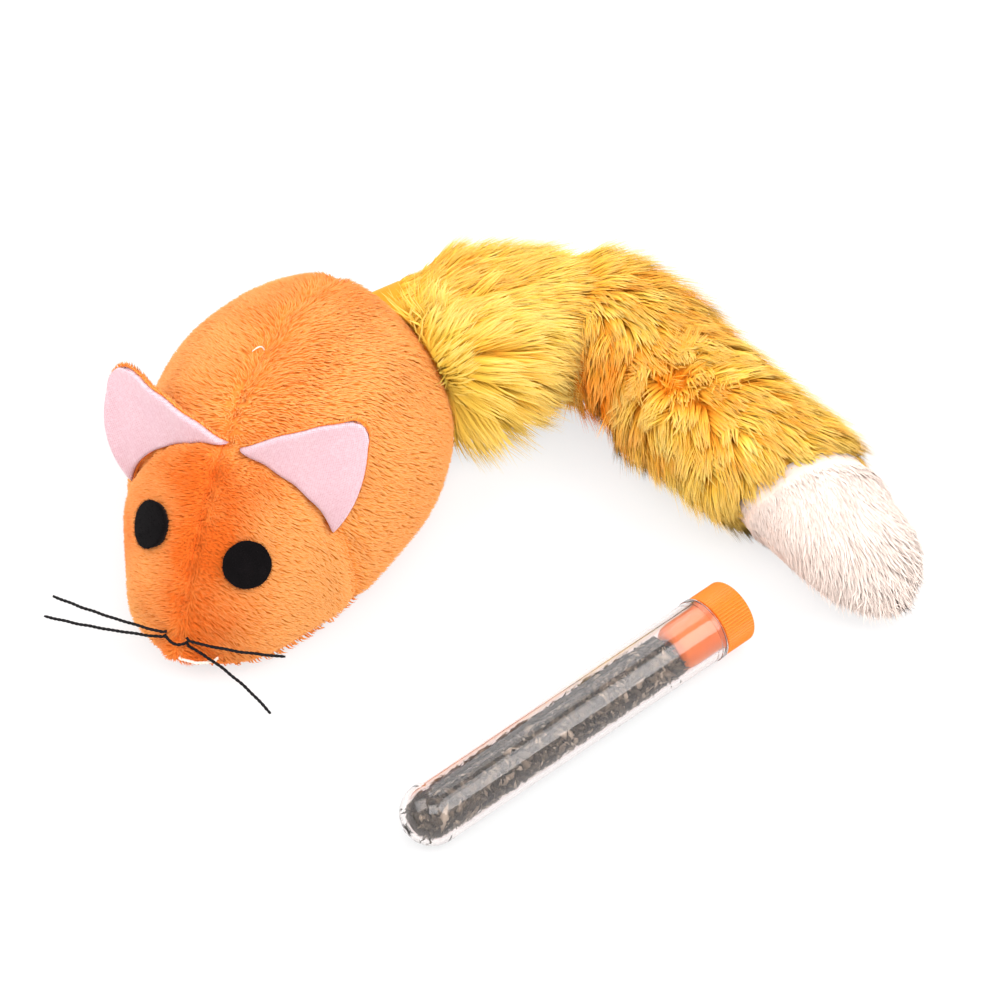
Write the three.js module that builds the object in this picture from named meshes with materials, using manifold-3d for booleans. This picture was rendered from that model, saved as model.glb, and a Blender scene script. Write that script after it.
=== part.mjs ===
// A plush mouse for a cat: a stuffed body of sewn panels, a long furry tail that bends in
// three places, felt eyes, knit ears, thread whiskers, and a stoppered tube of dried catnip
// that refills the pouch behind the flap in its belly.
// Millimetres. +Z is up, the nose points along -Y and the mouse's left side is +X. The origin
// is on the floor under the middle of the body, on the flat of the belly.
import * as THREE from 'three';
import { mergeVertices } from 'three/addons/utils/BufferGeometryUtils.js';
import Module from 'manifold-3d';

const wasm = await Module();
wasm.setup();

// Driving dimensions: the body
const bodyLength = 83;
const bodyHeight = 47;
const leftHalfWidth = 31.3;
const rightHalfWidth = 26.8;
const noseToOrigin = 42;
const bellySink = 0.8;
const plushThickness = 1.8;
const seamGap = 0.3;
const neckFromNose = 25.5;
const bellySeamHeight = 4.5;

// The body's outline as shares of its length, half widths and height, chosen by hand
const stationShares = [0, 0.06, 0.16, 0.3, 0.45, 0.62, 0.8, 0.93, 1];
const widthShares = [0.14, 0.45, 0.63, 0.83, 0.94, 1, 0.93, 0.7, 0.34];
const topShares = [0.235, 0.455, 0.675, 0.88, 1, 1, 0.9, 0.785, 0.64];
const bottomShares = [0.095, 0.07, 0.01, 0, 0, 0, 0, 0, 0.31];
const widestLevelShare = 0.31;
const upperPower = 1.86;
const lowerPower = 3.9;

// Ears: knit in front, plush behind, sewn into the neck seam. Each row gives the two ends of
// its base as shares of the half width, and its shape as shares of the ear's height.
const earHeight = 23.8;
const earKnitThickness = 0.9;
const earPlushThickness = 1.3;
const earFold = 30;
const earShapes = {
  left: {
    innerShare: 0.14,
    outerShare: 0.728,
    heightShare: 1,
    apexShare: 0.523,
    tipShare: 0.15,
    bulgeShare: 0.06,
    innerBulgeShare: 0.038,
    lean: 19,
  },
  right: {
    innerShare: -0.01,
    outerShare: 0.77,
    heightShare: 1.02,
    apexShare: 0.65,
    tipShare: 0.19,
    bulgeShare: 0.07,
    innerBulgeShare: 0.008,
    lean: 18,
  },
};

// Eyes: felt discs glued on
const eyeRadius = 4.55;
const eyeFeltThickness = 1.2;
const leftEyeX = 10.4;
const leftEyeFromNose = 11.2;
const rightEyeX = -9.7;
const rightEyeFromNose = 12.8;

// Whiskers and the stitches at the snout
const threadDiameter = 0.7;
const whiskerRootX = 2.8;
const whiskerRootHeight = 11.6;
const noseStitchDip = 1.4;
const chinThreadDiameter = 0.6;
const chinStitchFromX = 0.6;
const chinStitchToX = 7.8;
const chinStitchHeight = 7.2;
const chinStitchRise = 0.3;
const whiskerReach = 24;
const whiskers = [
  {
    name: 'whisker_right_upper',
    side: -1,
    reachShare: 0.996,
    forwardShare: -0.0792,
    riseShare: -0.0833,
    bowShare: 0.058,
  },
  {
    name: 'whisker_right_lower',
    side: -1,
    reachShare: 1.01,
    forwardShare: 0.05,
    riseShare: -0.133,
    bowShare: 0.067,
  },
  {
    name: 'whisker_left_upper',
    side: 1,
    reachShare: 0.75,
    forwardShare: -0.15,
    riseShare: -0.025,
    bowShare: 0.083,
  },
  {
    name: 'whisker_left_lower',
    side: 1,
    reachShare: 0.725,
    forwardShare: 0.108,
    riseShare: -0.383,
    bowShare: -0.12,
  },
];

// The end of the sewing thread that shows on the back's seam
const threadEndFromNose = 44.7;
const threadEndLength = 2.4;

// The refill pocket: a pouch behind a slot in the belly, closed by a flap with hook and loop
const pocketShare = 0.717;
const slotLength = 28;
const slotWidth = 17;
const flapThickness = 1.1;
const flapRecess = 0.4;
const flapOpening = 105;
const pouchLength = 24;
const pouchWidth = 10;
const pouchDepth = 16;
const pouchWall = 0.8;
const tapeWidth = 4;
const tapeLength = 22;
const tapeThickness = 0.8;

// Tail: a fake-fur sleeve over stuffing, in three lengths that turn about round knuckles
const tailRadius = 14.4;
const tailCoreRadius = 6.2;
const knuckleShare = 0.87;
const knuckleGap = 0.4;
const knuckleClearAngle = 28;
const hoodAngle = 8;
const tailRootHeight = 18.5;
const tailRootX = 8;
const tailRootBehindBody = 2.4;
const tailLift = 30;
const tailReach = 113.3;
const tailSpans = [
  { acrossShare: 0.079, backShare: 0.024, riseShare: -0.0141 },
  { acrossShare: 0.072, backShare: 0.044, riseShare: -0.0106 },
  { acrossShare: 0.071, backShare: 0.051, riseShare: -0.0071 },
  { acrossShare: 0.073, backShare: 0.044, riseShare: -0.0044 },
  { acrossShare: 0.088, backShare: -0.019, riseShare: 0 },
  { acrossShare: 0.096, backShare: -0.057, riseShare: 0 },
  { acrossShare: 0.088, backShare: -0.053, riseShare: 0 },
  { acrossShare: 0.088, backShare: -0.044, riseShare: -0.0018 },
  { acrossShare: 0.086, backShare: -0.039, riseShare: -0.0035 },
  { acrossShare: 0.057, backShare: -0.024, riseShare: -0.0071 },
  { acrossShare: 0.095, backShare: -0.060, riseShare: -0.0150 },
  { acrossShare: 0.104, backShare: -0.071, riseShare: -0.0194 },
];
const creaseShare = 0.3;
const creamSeamShare = 0.79;
const tipFillShare = 0.9;
const tailStationShares = [0, 0.08, 0.16, 0.3, 0.42, 0.6, 0.79, 0.9, 0.97, 1];
const tailWidthShares = [1, 1.22, 1.14, 0.98, 1.06, 1.04, 0.97, 0.84, 0.58, 0.2];
const tailHeightShares = [0.86, 0.98, 0.98, 0.94, 0.99, 0.99, 0.92, 0.76, 0.5, 0.16];

// The tube of catnip with its push-in stopper, lying beside the mouse
const tubeDiameter = 13;
const tubeLength = 73;
const tubeEndDiameter = 12;
const tubeWall = 1;
const tubeRimHeight = 1.4;
const tubeRimStep = 0.35;
const tubeNubRadius = 1.1;
const tubeNubHeight = 0.5;
const tubeEndX = 55.5;
const tubeEndFromNose = -21.2;
const tubeHeading = 61.7;
const stopperHeadLength = 6.9;
const stopperHeadDiameter = 12.7;
const stopperPlugLength = 9.4;
const stopperFitGap = 0.3;
const stopperRibCount = 40;
const stopperRibDepth = 0.3;
const stopperHollowShare = 0.62;
const catnipDrop = 3.2;

// Facets
const aroundCount = 28;
const stationCount = 20;
const tailAroundCount = 16;
const ballAroundCount = 20;
const threadSides = 8;
const threadSteps = 9;
const tubeSides = 28;

// One length that every cutting tool runs past what it cuts, and the step that surface
// slopes are measured over
const overrun = bodyLength;
const slopeStep = seamGap;
const mergeDistance = 1e-4;

const degree = Math.PI / 180;
const upAxis = new THREE.Vector3(0, 0, 1);

// Colours and finishes
const finishes = {
  orangePlush: { color: 0xf88c3c, roughness: 0.95 },
  yellowFur: { color: 0xf4b73f, roughness: 0.95 },
  creamFur: { color: 0xf7e8dc, roughness: 0.95 },
  pinkKnit: { color: 0xf1cbd3, roughness: 0.9 },
  blackFelt: { color: 0x1a1216, roughness: 1 },
  blackThread: { color: 0x17141a, roughness: 0.6 },
  paleThread: { color: 0xf3d9c4, roughness: 0.7 },
  fibreFill: { color: 0xf4f2ee, roughness: 1 },
  pouchCotton: { color: 0xe9e2d2, roughness: 0.9 },
  tapeNylon: { color: 0xe8843a, roughness: 0.8 },
  clearPlastic: { color: 0xf2f6f6, roughness: 0.08 },
  orangePlastic: { color: 0xfd9d30, roughness: 0.4 },
  driedLeaf: { color: 0x6f6a55, roughness: 1 },
};

const toy = new THREE.Group();

function finishOf(name) {
  return new THREE.MeshStandardMaterial({ ...finishes[name], metalness: 0 });
}

// A closed three.js geometry as a solid that can be joined and cut
function solidFrom(geometry) {
  const bare = geometry.clone();
  for (const name of Object.keys(bare.attributes)) {
    if (name !== 'position') bare.deleteAttribute(name);
  }
  const merged = mergeVertices(bare, mergeDistance);
  return new wasm.Manifold(new wasm.Mesh({
    numProp: 3,
    vertProperties: Float32Array.from(merged.attributes.position.array),
    triVerts: Uint32Array.from(merged.index.array),
  }));
}

function geometryFrom(solid) {
  const mesh = solid.getMesh();
  const geometry = new THREE.BufferGeometry();
  geometry.setAttribute('position', new THREE.BufferAttribute(mesh.vertProperties, 3));
  geometry.setIndex(new THREE.BufferAttribute(mesh.triVerts, 1));
  geometry.computeVertexNormals();
  return geometry;
}

function addMesh(parent, name, geometry, finish) {
  const mesh = new THREE.Mesh(geometry, finishOf(finish));
  mesh.name = name;
  parent.add(mesh);
  return mesh;
}

function addSolid(parent, name, solid, finish) {
  return addMesh(parent, name, geometryFrom(solid), finish);
}

// A box between two corners
function boxBetween(low, high) {
  const size = high.clone().sub(low);
  const geometry = new THREE.BoxGeometry(size.x, size.y, size.z);
  const middle = low.clone().add(high).multiplyScalar(0.5);
  return solidFrom(geometry.translate(middle.x, middle.y, middle.z));
}

// A turn about an axis through a point
function turnAbout(point, axis, angle) {
  return new THREE.Matrix4().makeTranslation(point.x, point.y, point.z)
    .multiply(new THREE.Matrix4().makeRotationAxis(axis, angle))
    .multiply(new THREE.Matrix4().makeTranslation(-point.x, -point.y, -point.z));
}

// A closed skin over rings of points, each end closed by a fan about the ring's middle
function skinOver(rings) {
  const count = rings[0].length;
  const points = rings.flat();
  const indices = [];
  for (let ring = 0; ring + 1 < rings.length; ring += 1) {
    for (let side = 0; side < count; side += 1) {
      const here = ring * count + side;
      const next = ring * count + ((side + 1) % count);
      indices.push(here, here + count, next);
      indices.push(next, here + count, next + count);
    }
  }
  const middles = [rings[0], rings[rings.length - 1]].map(middleOf);
  const firstMiddle = points.length;
  const lastRing = (rings.length - 1) * count;
  for (let side = 0; side < count; side += 1) {
    const next = (side + 1) % count;
    indices.push(firstMiddle, side, next);
    indices.push(firstMiddle + 1, lastRing + next, lastRing + side);
  }
  const geometry = new THREE.BufferGeometry().setFromPoints([...points, ...middles]);
  geometry.setIndex(indices);
  return geometry;
}

function middleOf(ring) {
  const sum = new THREE.Vector3();
  for (const point of ring) sum.add(point);
  return sum.divideScalar(ring.length);
}

// A smooth curve through a table of shares that never overshoots: each station's slope is the
// harmonic mean of the slopes beside it, or zero at a peak
function shareAt(t, stations, shares) {
  const last = stations.length - 1;
  let k = 0;
  while (k < last - 1 && t > stations[k + 1]) k += 1;
  const chord = (i) => (shares[i + 1] - shares[i]) / (stations[i + 1] - stations[i]);
  const slope = (i) => {
    if (i === 0) return chord(0);
    if (i === last) return chord(last - 1);
    const before = chord(i - 1);
    const after = chord(i);
    return before * after > 0 ? (2 * before * after) / (before + after) : 0;
  };
  const width = stations[k + 1] - stations[k];
  const u = (t - stations[k]) / width;
  const rise = shares[k + 1] - shares[k];
  const bend = (slope(k) * (1 - u) - slope(k + 1) * u) * width + rise * (2 * u - 1);
  return shares[k] + rise * u + u * (1 - u) * bend;
}

// The body's section at a share of its length: a half width on each side, the level where it
// is widest, its top and its bottom
function sectionAt(t) {
  const widthShare = shareAt(t, stationShares, widthShares);
  const top = bodyHeight * shareAt(t, stationShares, topShares);
  const bottom = bodyHeight * shareAt(t, stationShares, bottomShares) - bellySink;
  return {
    left: leftHalfWidth * widthShare,
    right: rightHalfWidth * widthShare,
    top,
    bottom,
    widest: Math.max(bottom, 0) + (top - Math.max(bottom, 0)) * widestLevelShare,
  };
}

const roundedPower = (value, power) => Math.sign(value) * Math.abs(value) ** (2 / power);

// The body's form, drawn in by an inset all over and cut flat underneath
const bodyForms = new Map();

function bodyForm(inset) {
  if (!bodyForms.has(inset)) bodyForms.set(inset, makeBodyForm(inset));
  return bodyForms.get(inset);
}

function makeBodyForm(inset) {
  const rings = [];
  for (let station = 0; station <= stationCount; station += 1) {
    const t = (1 - Math.cos((Math.PI * station) / stationCount)) / 2;
    const section = sectionAt(t);
    const y = inset - noseToOrigin + t * (bodyLength - 2 * inset);
    const ring = [];
    for (let side = 0; side < aroundCount; side += 1) {
      const angle = (2 * Math.PI * side) / aroundCount;
      const power = Math.sin(angle) > 0 ? upperPower : lowerPower;
      const across = roundedPower(Math.cos(angle), power);
      const up = roundedPower(Math.sin(angle), power);
      const halfWidth = (across > 0 ? section.left : section.right) - inset;
      const reach = up > 0 ? section.top - inset - section.widest : section.widest - section.bottom - inset;
      ring.push(new THREE.Vector3(across * halfWidth, y, section.widest + up * reach));
    }
    rings.push(ring);
  }
  const floorCut = boxBetween(
    new THREE.Vector3(-overrun, -overrun, inset),
    new THREE.Vector3(overrun, overrun, overrun),
  );
  return solidFrom(skinOver(rings)).intersect(floorCut);
}

// The height of the body's upper surface over a point of the floor
function heightAt(x, y) {
  const section = sectionAt((y + noseToOrigin) / bodyLength);
  const halfWidth = x > 0 ? section.left : section.right;
  const across = Math.min(Math.abs(x) / halfWidth, 1) ** upperPower;
  return section.widest + (section.top - section.widest) * (1 - across) ** (1 / upperPower);
}

function surfaceNormal(x, y) {
  const slopeX = (heightAt(x + slopeStep, y) - heightAt(x - slopeStep, y)) / (2 * slopeStep);
  const slopeY = (heightAt(x, y + slopeStep) - heightAt(x, y - slopeStep)) / (2 * slopeStep);
  return new THREE.Vector3(-slopeX, -slopeY, 1).normalize();
}

// How far back from the nose tip the surface lies at a point of the face, by halving
function faceDepthAt(x, z) {
  const outside = (t) => {
    const section = sectionAt(t);
    const halfWidth = x > 0 ? section.left : section.right;
    const reach = z > section.widest ? section.top - section.widest : section.widest - section.bottom;
    const power = z > section.widest ? upperPower : lowerPower;
    return (Math.abs(x) / halfWidth) ** power + (Math.abs(z - section.widest) / reach) ** power > 1;
  };
  let near = 0;
  let far = stationShares[4];
  if (!outside(near)) return -noseToOrigin;
  for (let halving = 0; halving < 30; halving += 1) {
    const middle = (near + far) / 2;
    if (outside(middle)) near = middle;
    else far = middle;
  }
  return far * bodyLength - noseToOrigin;
}

// A thread of round section along a curve
function threadAlong(curve, diameter) {
  const section = new THREE.Shape();
  section.absarc(0, 0, diameter / 2, 0, 2 * Math.PI, false);
  return new THREE.ExtrudeGeometry(section, {
    extrudePath: curve,
    steps: threadSteps,
    curveSegments: threadSides,
    bevelEnabled: false,
  });
}

// The tail's centre line, from its root behind the body to its tip, as steps from one point
// to the next
function tailCurve() {
  const place = new THREE.Vector3(
    tailRootX,
    bodyLength - noseToOrigin + tailRootBehindBody,
    tailRootHeight,
  );
  const points = [place.clone()];
  for (const span of tailSpans) {
    const step = new THREE.Vector3(span.acrossShare, span.backShare, span.riseShare);
    place.addScaledVector(step, tailReach);
    points.push(place.clone());
  }
  return new THREE.CatmullRomCurve3(points, false, 'centripetal');
}

const tailLine = tailCurve();
const tailLength = tailLine.getLength();

function tailFrame(share) {
  const tangent = tailLine.getTangentAt(share);
  const right = tangent.clone().cross(upAxis).normalize();
  return { place: tailLine.getPointAt(share), tangent, right, up: right.clone().cross(tangent) };
}

function tailRing(frame, along, halfWidth, halfHeight) {
  const ring = [];
  for (let side = 0; side < tailAroundCount; side += 1) {
    const angle = (2 * Math.PI * side) / tailAroundCount;
    ring.push(frame.place.clone()
      .addScaledVector(frame.tangent, along)
      .addScaledVector(frame.right, halfWidth * Math.cos(angle))
      .addScaledVector(frame.up, halfHeight * Math.sin(angle)));
  }
  return ring;
}

function tailSizeAt(share) {
  const halfHeight = tailRadius * shareAt(share, tailStationShares, tailHeightShares);
  return {
    halfWidth: tailRadius * shareAt(share, tailStationShares, tailWidthShares),
    halfHeight,
    knuckleRadius: halfHeight * knuckleShare,
  };
}

function ballAt(place, radius) {
  const ball = new THREE.SphereGeometry(radius, ballAroundCount, ballAroundCount / 2);
  return solidFrom(ball.translate(place.x, place.y, place.z));
}

// A turned solid about the tail's line at one of its seams
function turnedAt(frame, profile) {
  const turn = new THREE.Quaternion().setFromUnitVectors(new THREE.Vector3(0, 1, 0), frame.tangent);
  const geometry = turned(profile, tailAroundCount).applyQuaternion(turn);
  return solidFrom(geometry.translate(frame.place.x, frame.place.y, frame.place.z));
}

// One length of the tail between two shares of its line. It starts with a hood that fits over
// the knuckle before it, and ends in a knuckle of its own or in the rounded tip. The sleeve
// stops short of its own knuckle, so that the next hood has room to turn.
function tailForm(from, to) {
  const reach = tailRadius / tailLength;
  const first = Math.max(from - reach, 0);
  const last = Math.min(to + reach, 1);
  const steps = Math.round(((last - first) * tailLength) / tailCoreRadius);
  const rings = [];
  for (let step = 0; step <= steps; step += 1) {
    const share = first + ((last - first) * step) / steps;
    const size = tailSizeAt(share);
    rings.push(tailRing(tailFrame(share), 0, size.halfWidth, size.halfHeight));
  }
  const cut = 2 * tailRadius;
  const hoodProfile = [[0, -cut], [cut, -cut], [cut, cut * Math.tan(hoodAngle * degree)], [0, 0]];
  const start = tailFrame(from);
  const form = solidFrom(skinOver(rings))
    .subtract(turnedAt(start, hoodProfile))
    .subtract(ballAt(start.place, tailSizeAt(from).knuckleRadius + knuckleGap));
  if (to === 1) return form;
  const end = tailFrame(to);
  const endProfile = [[0, 0], [cut, -cut * Math.tan(knuckleClearAngle * degree)], [cut, cut], [0, cut]];
  return form.subtract(turnedAt(end, endProfile)).add(ballAt(end.place, tailSizeAt(to).knuckleRadius));
}

// A rod of stuffing along a stretch of the tail's line. It runs on past the seam at each end,
// and only the tip's rod stops short of the fur.
function tailCore(from, to, radius) {
  const last = to < 1 ? to : tipFillShare;
  const rings = [tailRing(tailFrame(from), -tailRadius, radius, radius)];
  const steps = Math.round(((last - from) * tailLength) / tailCoreRadius);
  for (let step = 0; step <= steps; step += 1) {
    const share = from + ((last - from) * step) / steps;
    const widest = tailSizeAt(share).halfHeight * tipFillShare;
    rings.push(tailRing(tailFrame(share), 0, Math.min(radius, widest), Math.min(radius, widest)));
  }
  if (to < 1) rings.push(tailRing(tailFrame(to), tailRadius, radius, radius));
  return solidFrom(skinOver(rings));
}

// Body, head and belly panels round the stuffing
const outside = bodyForm(0);
const inside = bodyForm(plushThickness);
const bodyEnd = bodyLength - noseToOrigin;
const neckY = neckFromNose - noseToOrigin;
const tailRoot = tailFrame(0);

// The knuckle at the tail's root sits in a round seat in the rear seam
const rootKnuckleRadius = tailSizeAt(0).knuckleRadius;
const rootSeat = ballAt(tailRoot.place, rootKnuckleRadius + knuckleGap);

// The pocket's slot, flap, tapes and pouch, all set out from the middle of the slot
const pocketY = bodyLength * pocketShare - noseToOrigin;
const slotLow = new THREE.Vector3(-slotWidth / 2, pocketY - slotLength / 2, -overrun);
const slotHigh = new THREE.Vector3(slotWidth / 2, pocketY + slotLength / 2, plushThickness + seamGap);
const slot = boxBetween(slotLow, slotHigh);

const flapLow = new THREE.Vector3(slotLow.x + seamGap, slotLow.y + seamGap, flapRecess);
const flapHigh = new THREE.Vector3(slotHigh.x - seamGap, slotHigh.y - seamGap, flapRecess + flapThickness);
const flap = boxBetween(flapLow, flapHigh);

const tapeHighX = flapHigh.x - seamGap;
const hookBottom = flapHigh.z + seamGap;
const hookLow = new THREE.Vector3(tapeHighX - tapeWidth, pocketY - tapeLength / 2, hookBottom);
const hookHigh = new THREE.Vector3(tapeHighX, pocketY + tapeLength / 2, hookBottom + tapeThickness);
const tapeRise = new THREE.Vector3(0, 0, tapeThickness + seamGap);
const loopLow = hookLow.clone().add(tapeRise);
const loopHigh = hookHigh.clone().add(tapeRise);

const pouchHighX = hookLow.x - seamGap;
const pouchBottom = plushThickness + seamGap;
const pouchLow = new THREE.Vector3(pouchHighX - pouchWidth, pocketY - pouchLength / 2, pouchBottom);
const pouchHigh = new THREE.Vector3(pouchHighX, pocketY + pouchLength / 2, pouchBottom + pouchDepth);
const pouchInset = new THREE.Vector3(pouchWall, pouchWall, pouchWall);
const pouchMouth = pouchLow.clone().add(pouchInset).setZ(-overrun);
const pouch = boxBetween(pouchLow, pouchHigh)
  .subtract(boxBetween(pouchMouth, pouchHigh.clone().sub(pouchInset)));

const gap = new THREE.Vector3(seamGap, seamGap, seamGap);
const pocketSpace = boxBetween(pouchLow.clone().sub(gap), pouchHigh.clone().add(gap))
  .add(boxBetween(slotLow.clone().setZ(0), slotHigh.clone().setZ(hookHigh.z)))
  .add(boxBetween(hookLow.clone().sub(gap), loopHigh.clone().add(gap)));

// The part of a solid inside a box that is open wherever a corner isn't given
function keepBetween(solid, low, high) {
  const lowCorner = new THREE.Vector3(low.x ?? -overrun, low.y ?? -overrun, low.z ?? -overrun);
  const highCorner = new THREE.Vector3(high.x ?? overrun, high.y ?? overrun, high.z ?? overrun);
  return solid.intersect(boxBetween(lowCorner, highCorner));
}

function addBodyPanels() {
  const half = seamGap / 2;
  const skin = outside.subtract(inside).subtract(rootSeat);
  const upper = keepBetween(skin, { z: bellySeamHeight + half }, {});
  const head = keepBetween(upper, {}, { y: neckY - half });
  const rear = keepBetween(upper, { y: neckY + half }, {});
  addSolid(toy, 'head_panel_left', keepBetween(head, { x: half }, {}), 'orangePlush');
  addSolid(toy, 'head_panel_right', keepBetween(head, {}, { x: -half }), 'orangePlush');
  addSolid(toy, 'body_panel_left', keepBetween(rear, { x: half }, {}), 'orangePlush');
  addSolid(toy, 'body_panel_right', keepBetween(rear, {}, { x: -half }), 'orangePlush');
  const belly = keepBetween(skin, {}, { z: bellySeamHeight - half }).subtract(slot);
  addSolid(toy, 'belly_panel', belly, 'orangePlush');
}

function addStuffing() {
  const half = seamGap / 2;
  const fill = bodyForm(plushThickness + seamGap);
  const head = keepBetween(fill, {}, { y: neckY - half });
  const rear = keepBetween(fill, { y: neckY + half }, {}).subtract(pocketSpace).subtract(rootSeat);
  addSolid(toy, 'head_stuffing', head, 'fibreFill');
  addSolid(toy, 'body_stuffing', rear, 'fibreFill');
}

function addPocket() {
  addSolid(toy, 'catnip_pouch', pouch, 'pouchCotton');
  addSolid(toy, 'pocket_flap', flap, 'orangePlush');
  addSolid(toy, 'hook_tape', boxBetween(hookLow, hookHigh), 'tapeNylon');
  addSolid(toy, 'loop_tape', boxBetween(loopLow, loopHigh), 'tapeNylon');
}

// An ear's outline: a triangle with a rounded tip and sides that swell, the outer one more, its
// base on the line between the two ends of its seam and run below it, so that the head can cut
// it to fit
function earOutline(shape, baseLength) {
  const height = earHeight * shape.heightShare;
  const low = height / 4;
  const tipRadius = height * shape.tipShare;
  const bulge = height * shape.bulgeShare;
  const innerBulge = height * shape.innerBulgeShare;
  const apex = new THREE.Vector2(baseLength * shape.apexShare, height);
  const innerSide = Math.atan2(height, apex.x);
  const outerSide = Math.atan2(height, baseLength - apex.x);
  const halfTip = (Math.PI - innerSide - outerSide) / 2;
  const intoEar = innerSide + halfTip + Math.PI;
  const toCentre = tipRadius / Math.sin(halfTip);
  const centre = new THREE.Vector2(
    apex.x + toCentre * Math.cos(intoEar),
    apex.y + toCentre * Math.sin(intoEar),
  );
  const outerTurn = Math.PI / 2 - outerSide;
  const tipStart = new THREE.Vector2(
    centre.x + tipRadius * Math.cos(outerTurn),
    centre.y + tipRadius * Math.sin(outerTurn),
  );
  const swell = new THREE.Vector2(
    (baseLength + tipStart.x) / 2 + 2 * bulge * Math.cos(outerTurn),
    tipStart.y / 2 + 2 * bulge * Math.sin(outerTurn),
  );
  const innerTurn = Math.PI / 2 + innerSide;
  const innerSwell = new THREE.Vector2(
    (centre.x + tipRadius * Math.cos(innerTurn)) / 2 + 2 * innerBulge * Math.cos(innerTurn),
    (centre.y + tipRadius * Math.sin(innerTurn)) / 2 + 2 * innerBulge * Math.sin(innerTurn),
  );
  const outline = new THREE.Shape();
  outline.moveTo(0, -low);
  outline.lineTo(baseLength, -low);
  outline.lineTo(baseLength, 0);
  outline.quadraticCurveTo(swell.x, swell.y, tipStart.x, tipStart.y);
  outline.absarc(centre.x, centre.y, tipRadius, outerTurn, innerTurn, false);
  outline.quadraticCurveTo(innerSwell.x, innerSwell.y, 0, 0);
  outline.closePath();
  return outline;
}

// Each ear stands on the neck seam and leans back. The base is cut by the head as it lies at
// rest and at each end of the ear's fold, so that the ear can turn about its seam.
function addEar(label) {
  const shape = earShapes[label];
  const side = label === 'left' ? 1 : -1;
  const halfWidth = label === 'left' ? leftHalfWidth : rightHalfWidth;
  const innerX = side * halfWidth * shape.innerShare;
  const outerX = side * halfWidth * shape.outerShare;
  const inner = new THREE.Vector3(innerX, neckY, heightAt(innerX, neckY));
  const outer = new THREE.Vector3(outerX, neckY, heightAt(outerX, neckY));
  const along = outer.clone().sub(inner);
  const baseLength = along.length();
  along.normalize();
  const back = new THREE.Vector3(0, 1, 0);
  const upright = back.clone().cross(along).multiplyScalar(-side).normalize();
  const lean = shape.lean * degree;
  const rise = upright.clone().multiplyScalar(Math.cos(lean)).addScaledVector(back, Math.sin(lean));
  const front = along.clone().cross(rise);
  const middle = inner.clone().add(outer).multiplyScalar(0.5);
  const bulge = heightAt(middle.x, neckY) - middle.z;
  const hinge = middle.clone().addScaledVector(rise, bulge * upright.z + seamGap);
  const place = new THREE.Matrix4().makeBasis(along, rise, front).setPosition(inner);
  const head = bodyForm(-seamGap);
  const outline = earOutline(shape, baseLength);
  const layers = [
    { name: `ear_${label}_lining`, from: seamGap / 2, thickness: earKnitThickness, forward: true },
    { name: `ear_${label}_back`, from: seamGap / 2, thickness: earPlushThickness, forward: false },
  ];
  for (const layer of layers) {
    const facing = layer.forward ? side : -side;
    const start = facing > 0 ? layer.from : -layer.from - layer.thickness;
    const sheet = new THREE.ExtrudeGeometry(outline, {
      depth: layer.thickness,
      bevelEnabled: false,
      curveSegments: threadSides,
    });
    let solid = solidFrom(sheet.translate(0, 0, start).applyMatrix4(place));
    for (const fold of [0, -earFold, earFold]) {
      const turn = turnAbout(hinge, along, fold * degree);
      solid = solid.subtract(head.transform(turn.toArray()));
    }
    addSolid(toy, layer.name, solid, layer.forward ? 'pinkKnit' : 'orangePlush');
  }
}

// A felt disc bent to the face: a round bar along the surface's normal, kept only between two
// skins that lie just off the plush
function addEye(label, x, fromNose) {
  const y = fromNose - noseToOrigin;
  const normal = surfaceNormal(x, y);
  const place = new THREE.Vector3(x, y, heightAt(x, y));
  const barLength = 2 * eyeRadius;
  const bar = new THREE.CylinderGeometry(eyeRadius, eyeRadius, barLength, tubeSides);
  const turn = new THREE.Quaternion().setFromUnitVectors(new THREE.Vector3(0, 1, 0), normal);
  bar.applyQuaternion(turn).translate(place.x, place.y, place.z);
  const felt = bodyForm(-seamGap - eyeFeltThickness).subtract(bodyForm(-seamGap));
  addSolid(toy, `eye_${label}`, solidFrom(bar).intersect(felt), 'blackFelt');
}

// The black thread that crosses under the nose, and the whiskers that leave from its ends
function snoutPoint(x, z, stand) {
  return new THREE.Vector3(x, faceDepthAt(x, z) - stand, z);
}

function addSnoutThreads() {
  const stand = seamGap + threadDiameter / 2;
  const stitchX = whiskerRootX - threadDiameter - seamGap;
  const stitch = new THREE.QuadraticBezierCurve3(
    snoutPoint(-stitchX, whiskerRootHeight, stand),
    snoutPoint(0, whiskerRootHeight - noseStitchDip, stand),
    snoutPoint(stitchX, whiskerRootHeight, stand),
  );
  addMesh(toy, 'nose_stitch', threadAlong(stitch, threadDiameter), 'blackThread');
  for (const whisker of whiskers) {
    const upper = whisker.name.endsWith('upper');
    const rootHeight = whiskerRootHeight + (upper ? 1 : -1) * (threadDiameter + seamGap) / 2;
    const root = snoutPoint(whisker.side * whiskerRootX, rootHeight, stand);
    const span = new THREE.Vector3(
      whisker.side * whisker.reachShare,
      -whisker.forwardShare,
      whisker.riseShare,
    ).multiplyScalar(whiskerReach);
    const end = root.clone().add(span);
    const bow = whisker.bowShare * whiskerReach;
    const control = root.clone().lerp(end, 0.5);
    control.add(new THREE.Vector3(0, -bow, bow / 2));
    const curve = new THREE.QuadraticBezierCurve3(root, control, end);
    addMesh(toy, whisker.name, threadAlong(curve, threadDiameter), 'blackThread');
  }
  const chinStand = seamGap + chinThreadDiameter / 2;
  const chinPoints = [0, 0.25, 0.5, 0.75, 1].map((share) => snoutPoint(
    chinStitchFromX + (chinStitchToX - chinStitchFromX) * share,
    chinStitchHeight + chinStitchRise * share,
    chinStand,
  ));
  const chinCurve = new THREE.CatmullRomCurve3(chinPoints);
  addMesh(toy, 'chin_stitch', threadAlong(chinCurve, chinThreadDiameter), 'paleThread');
}

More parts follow.
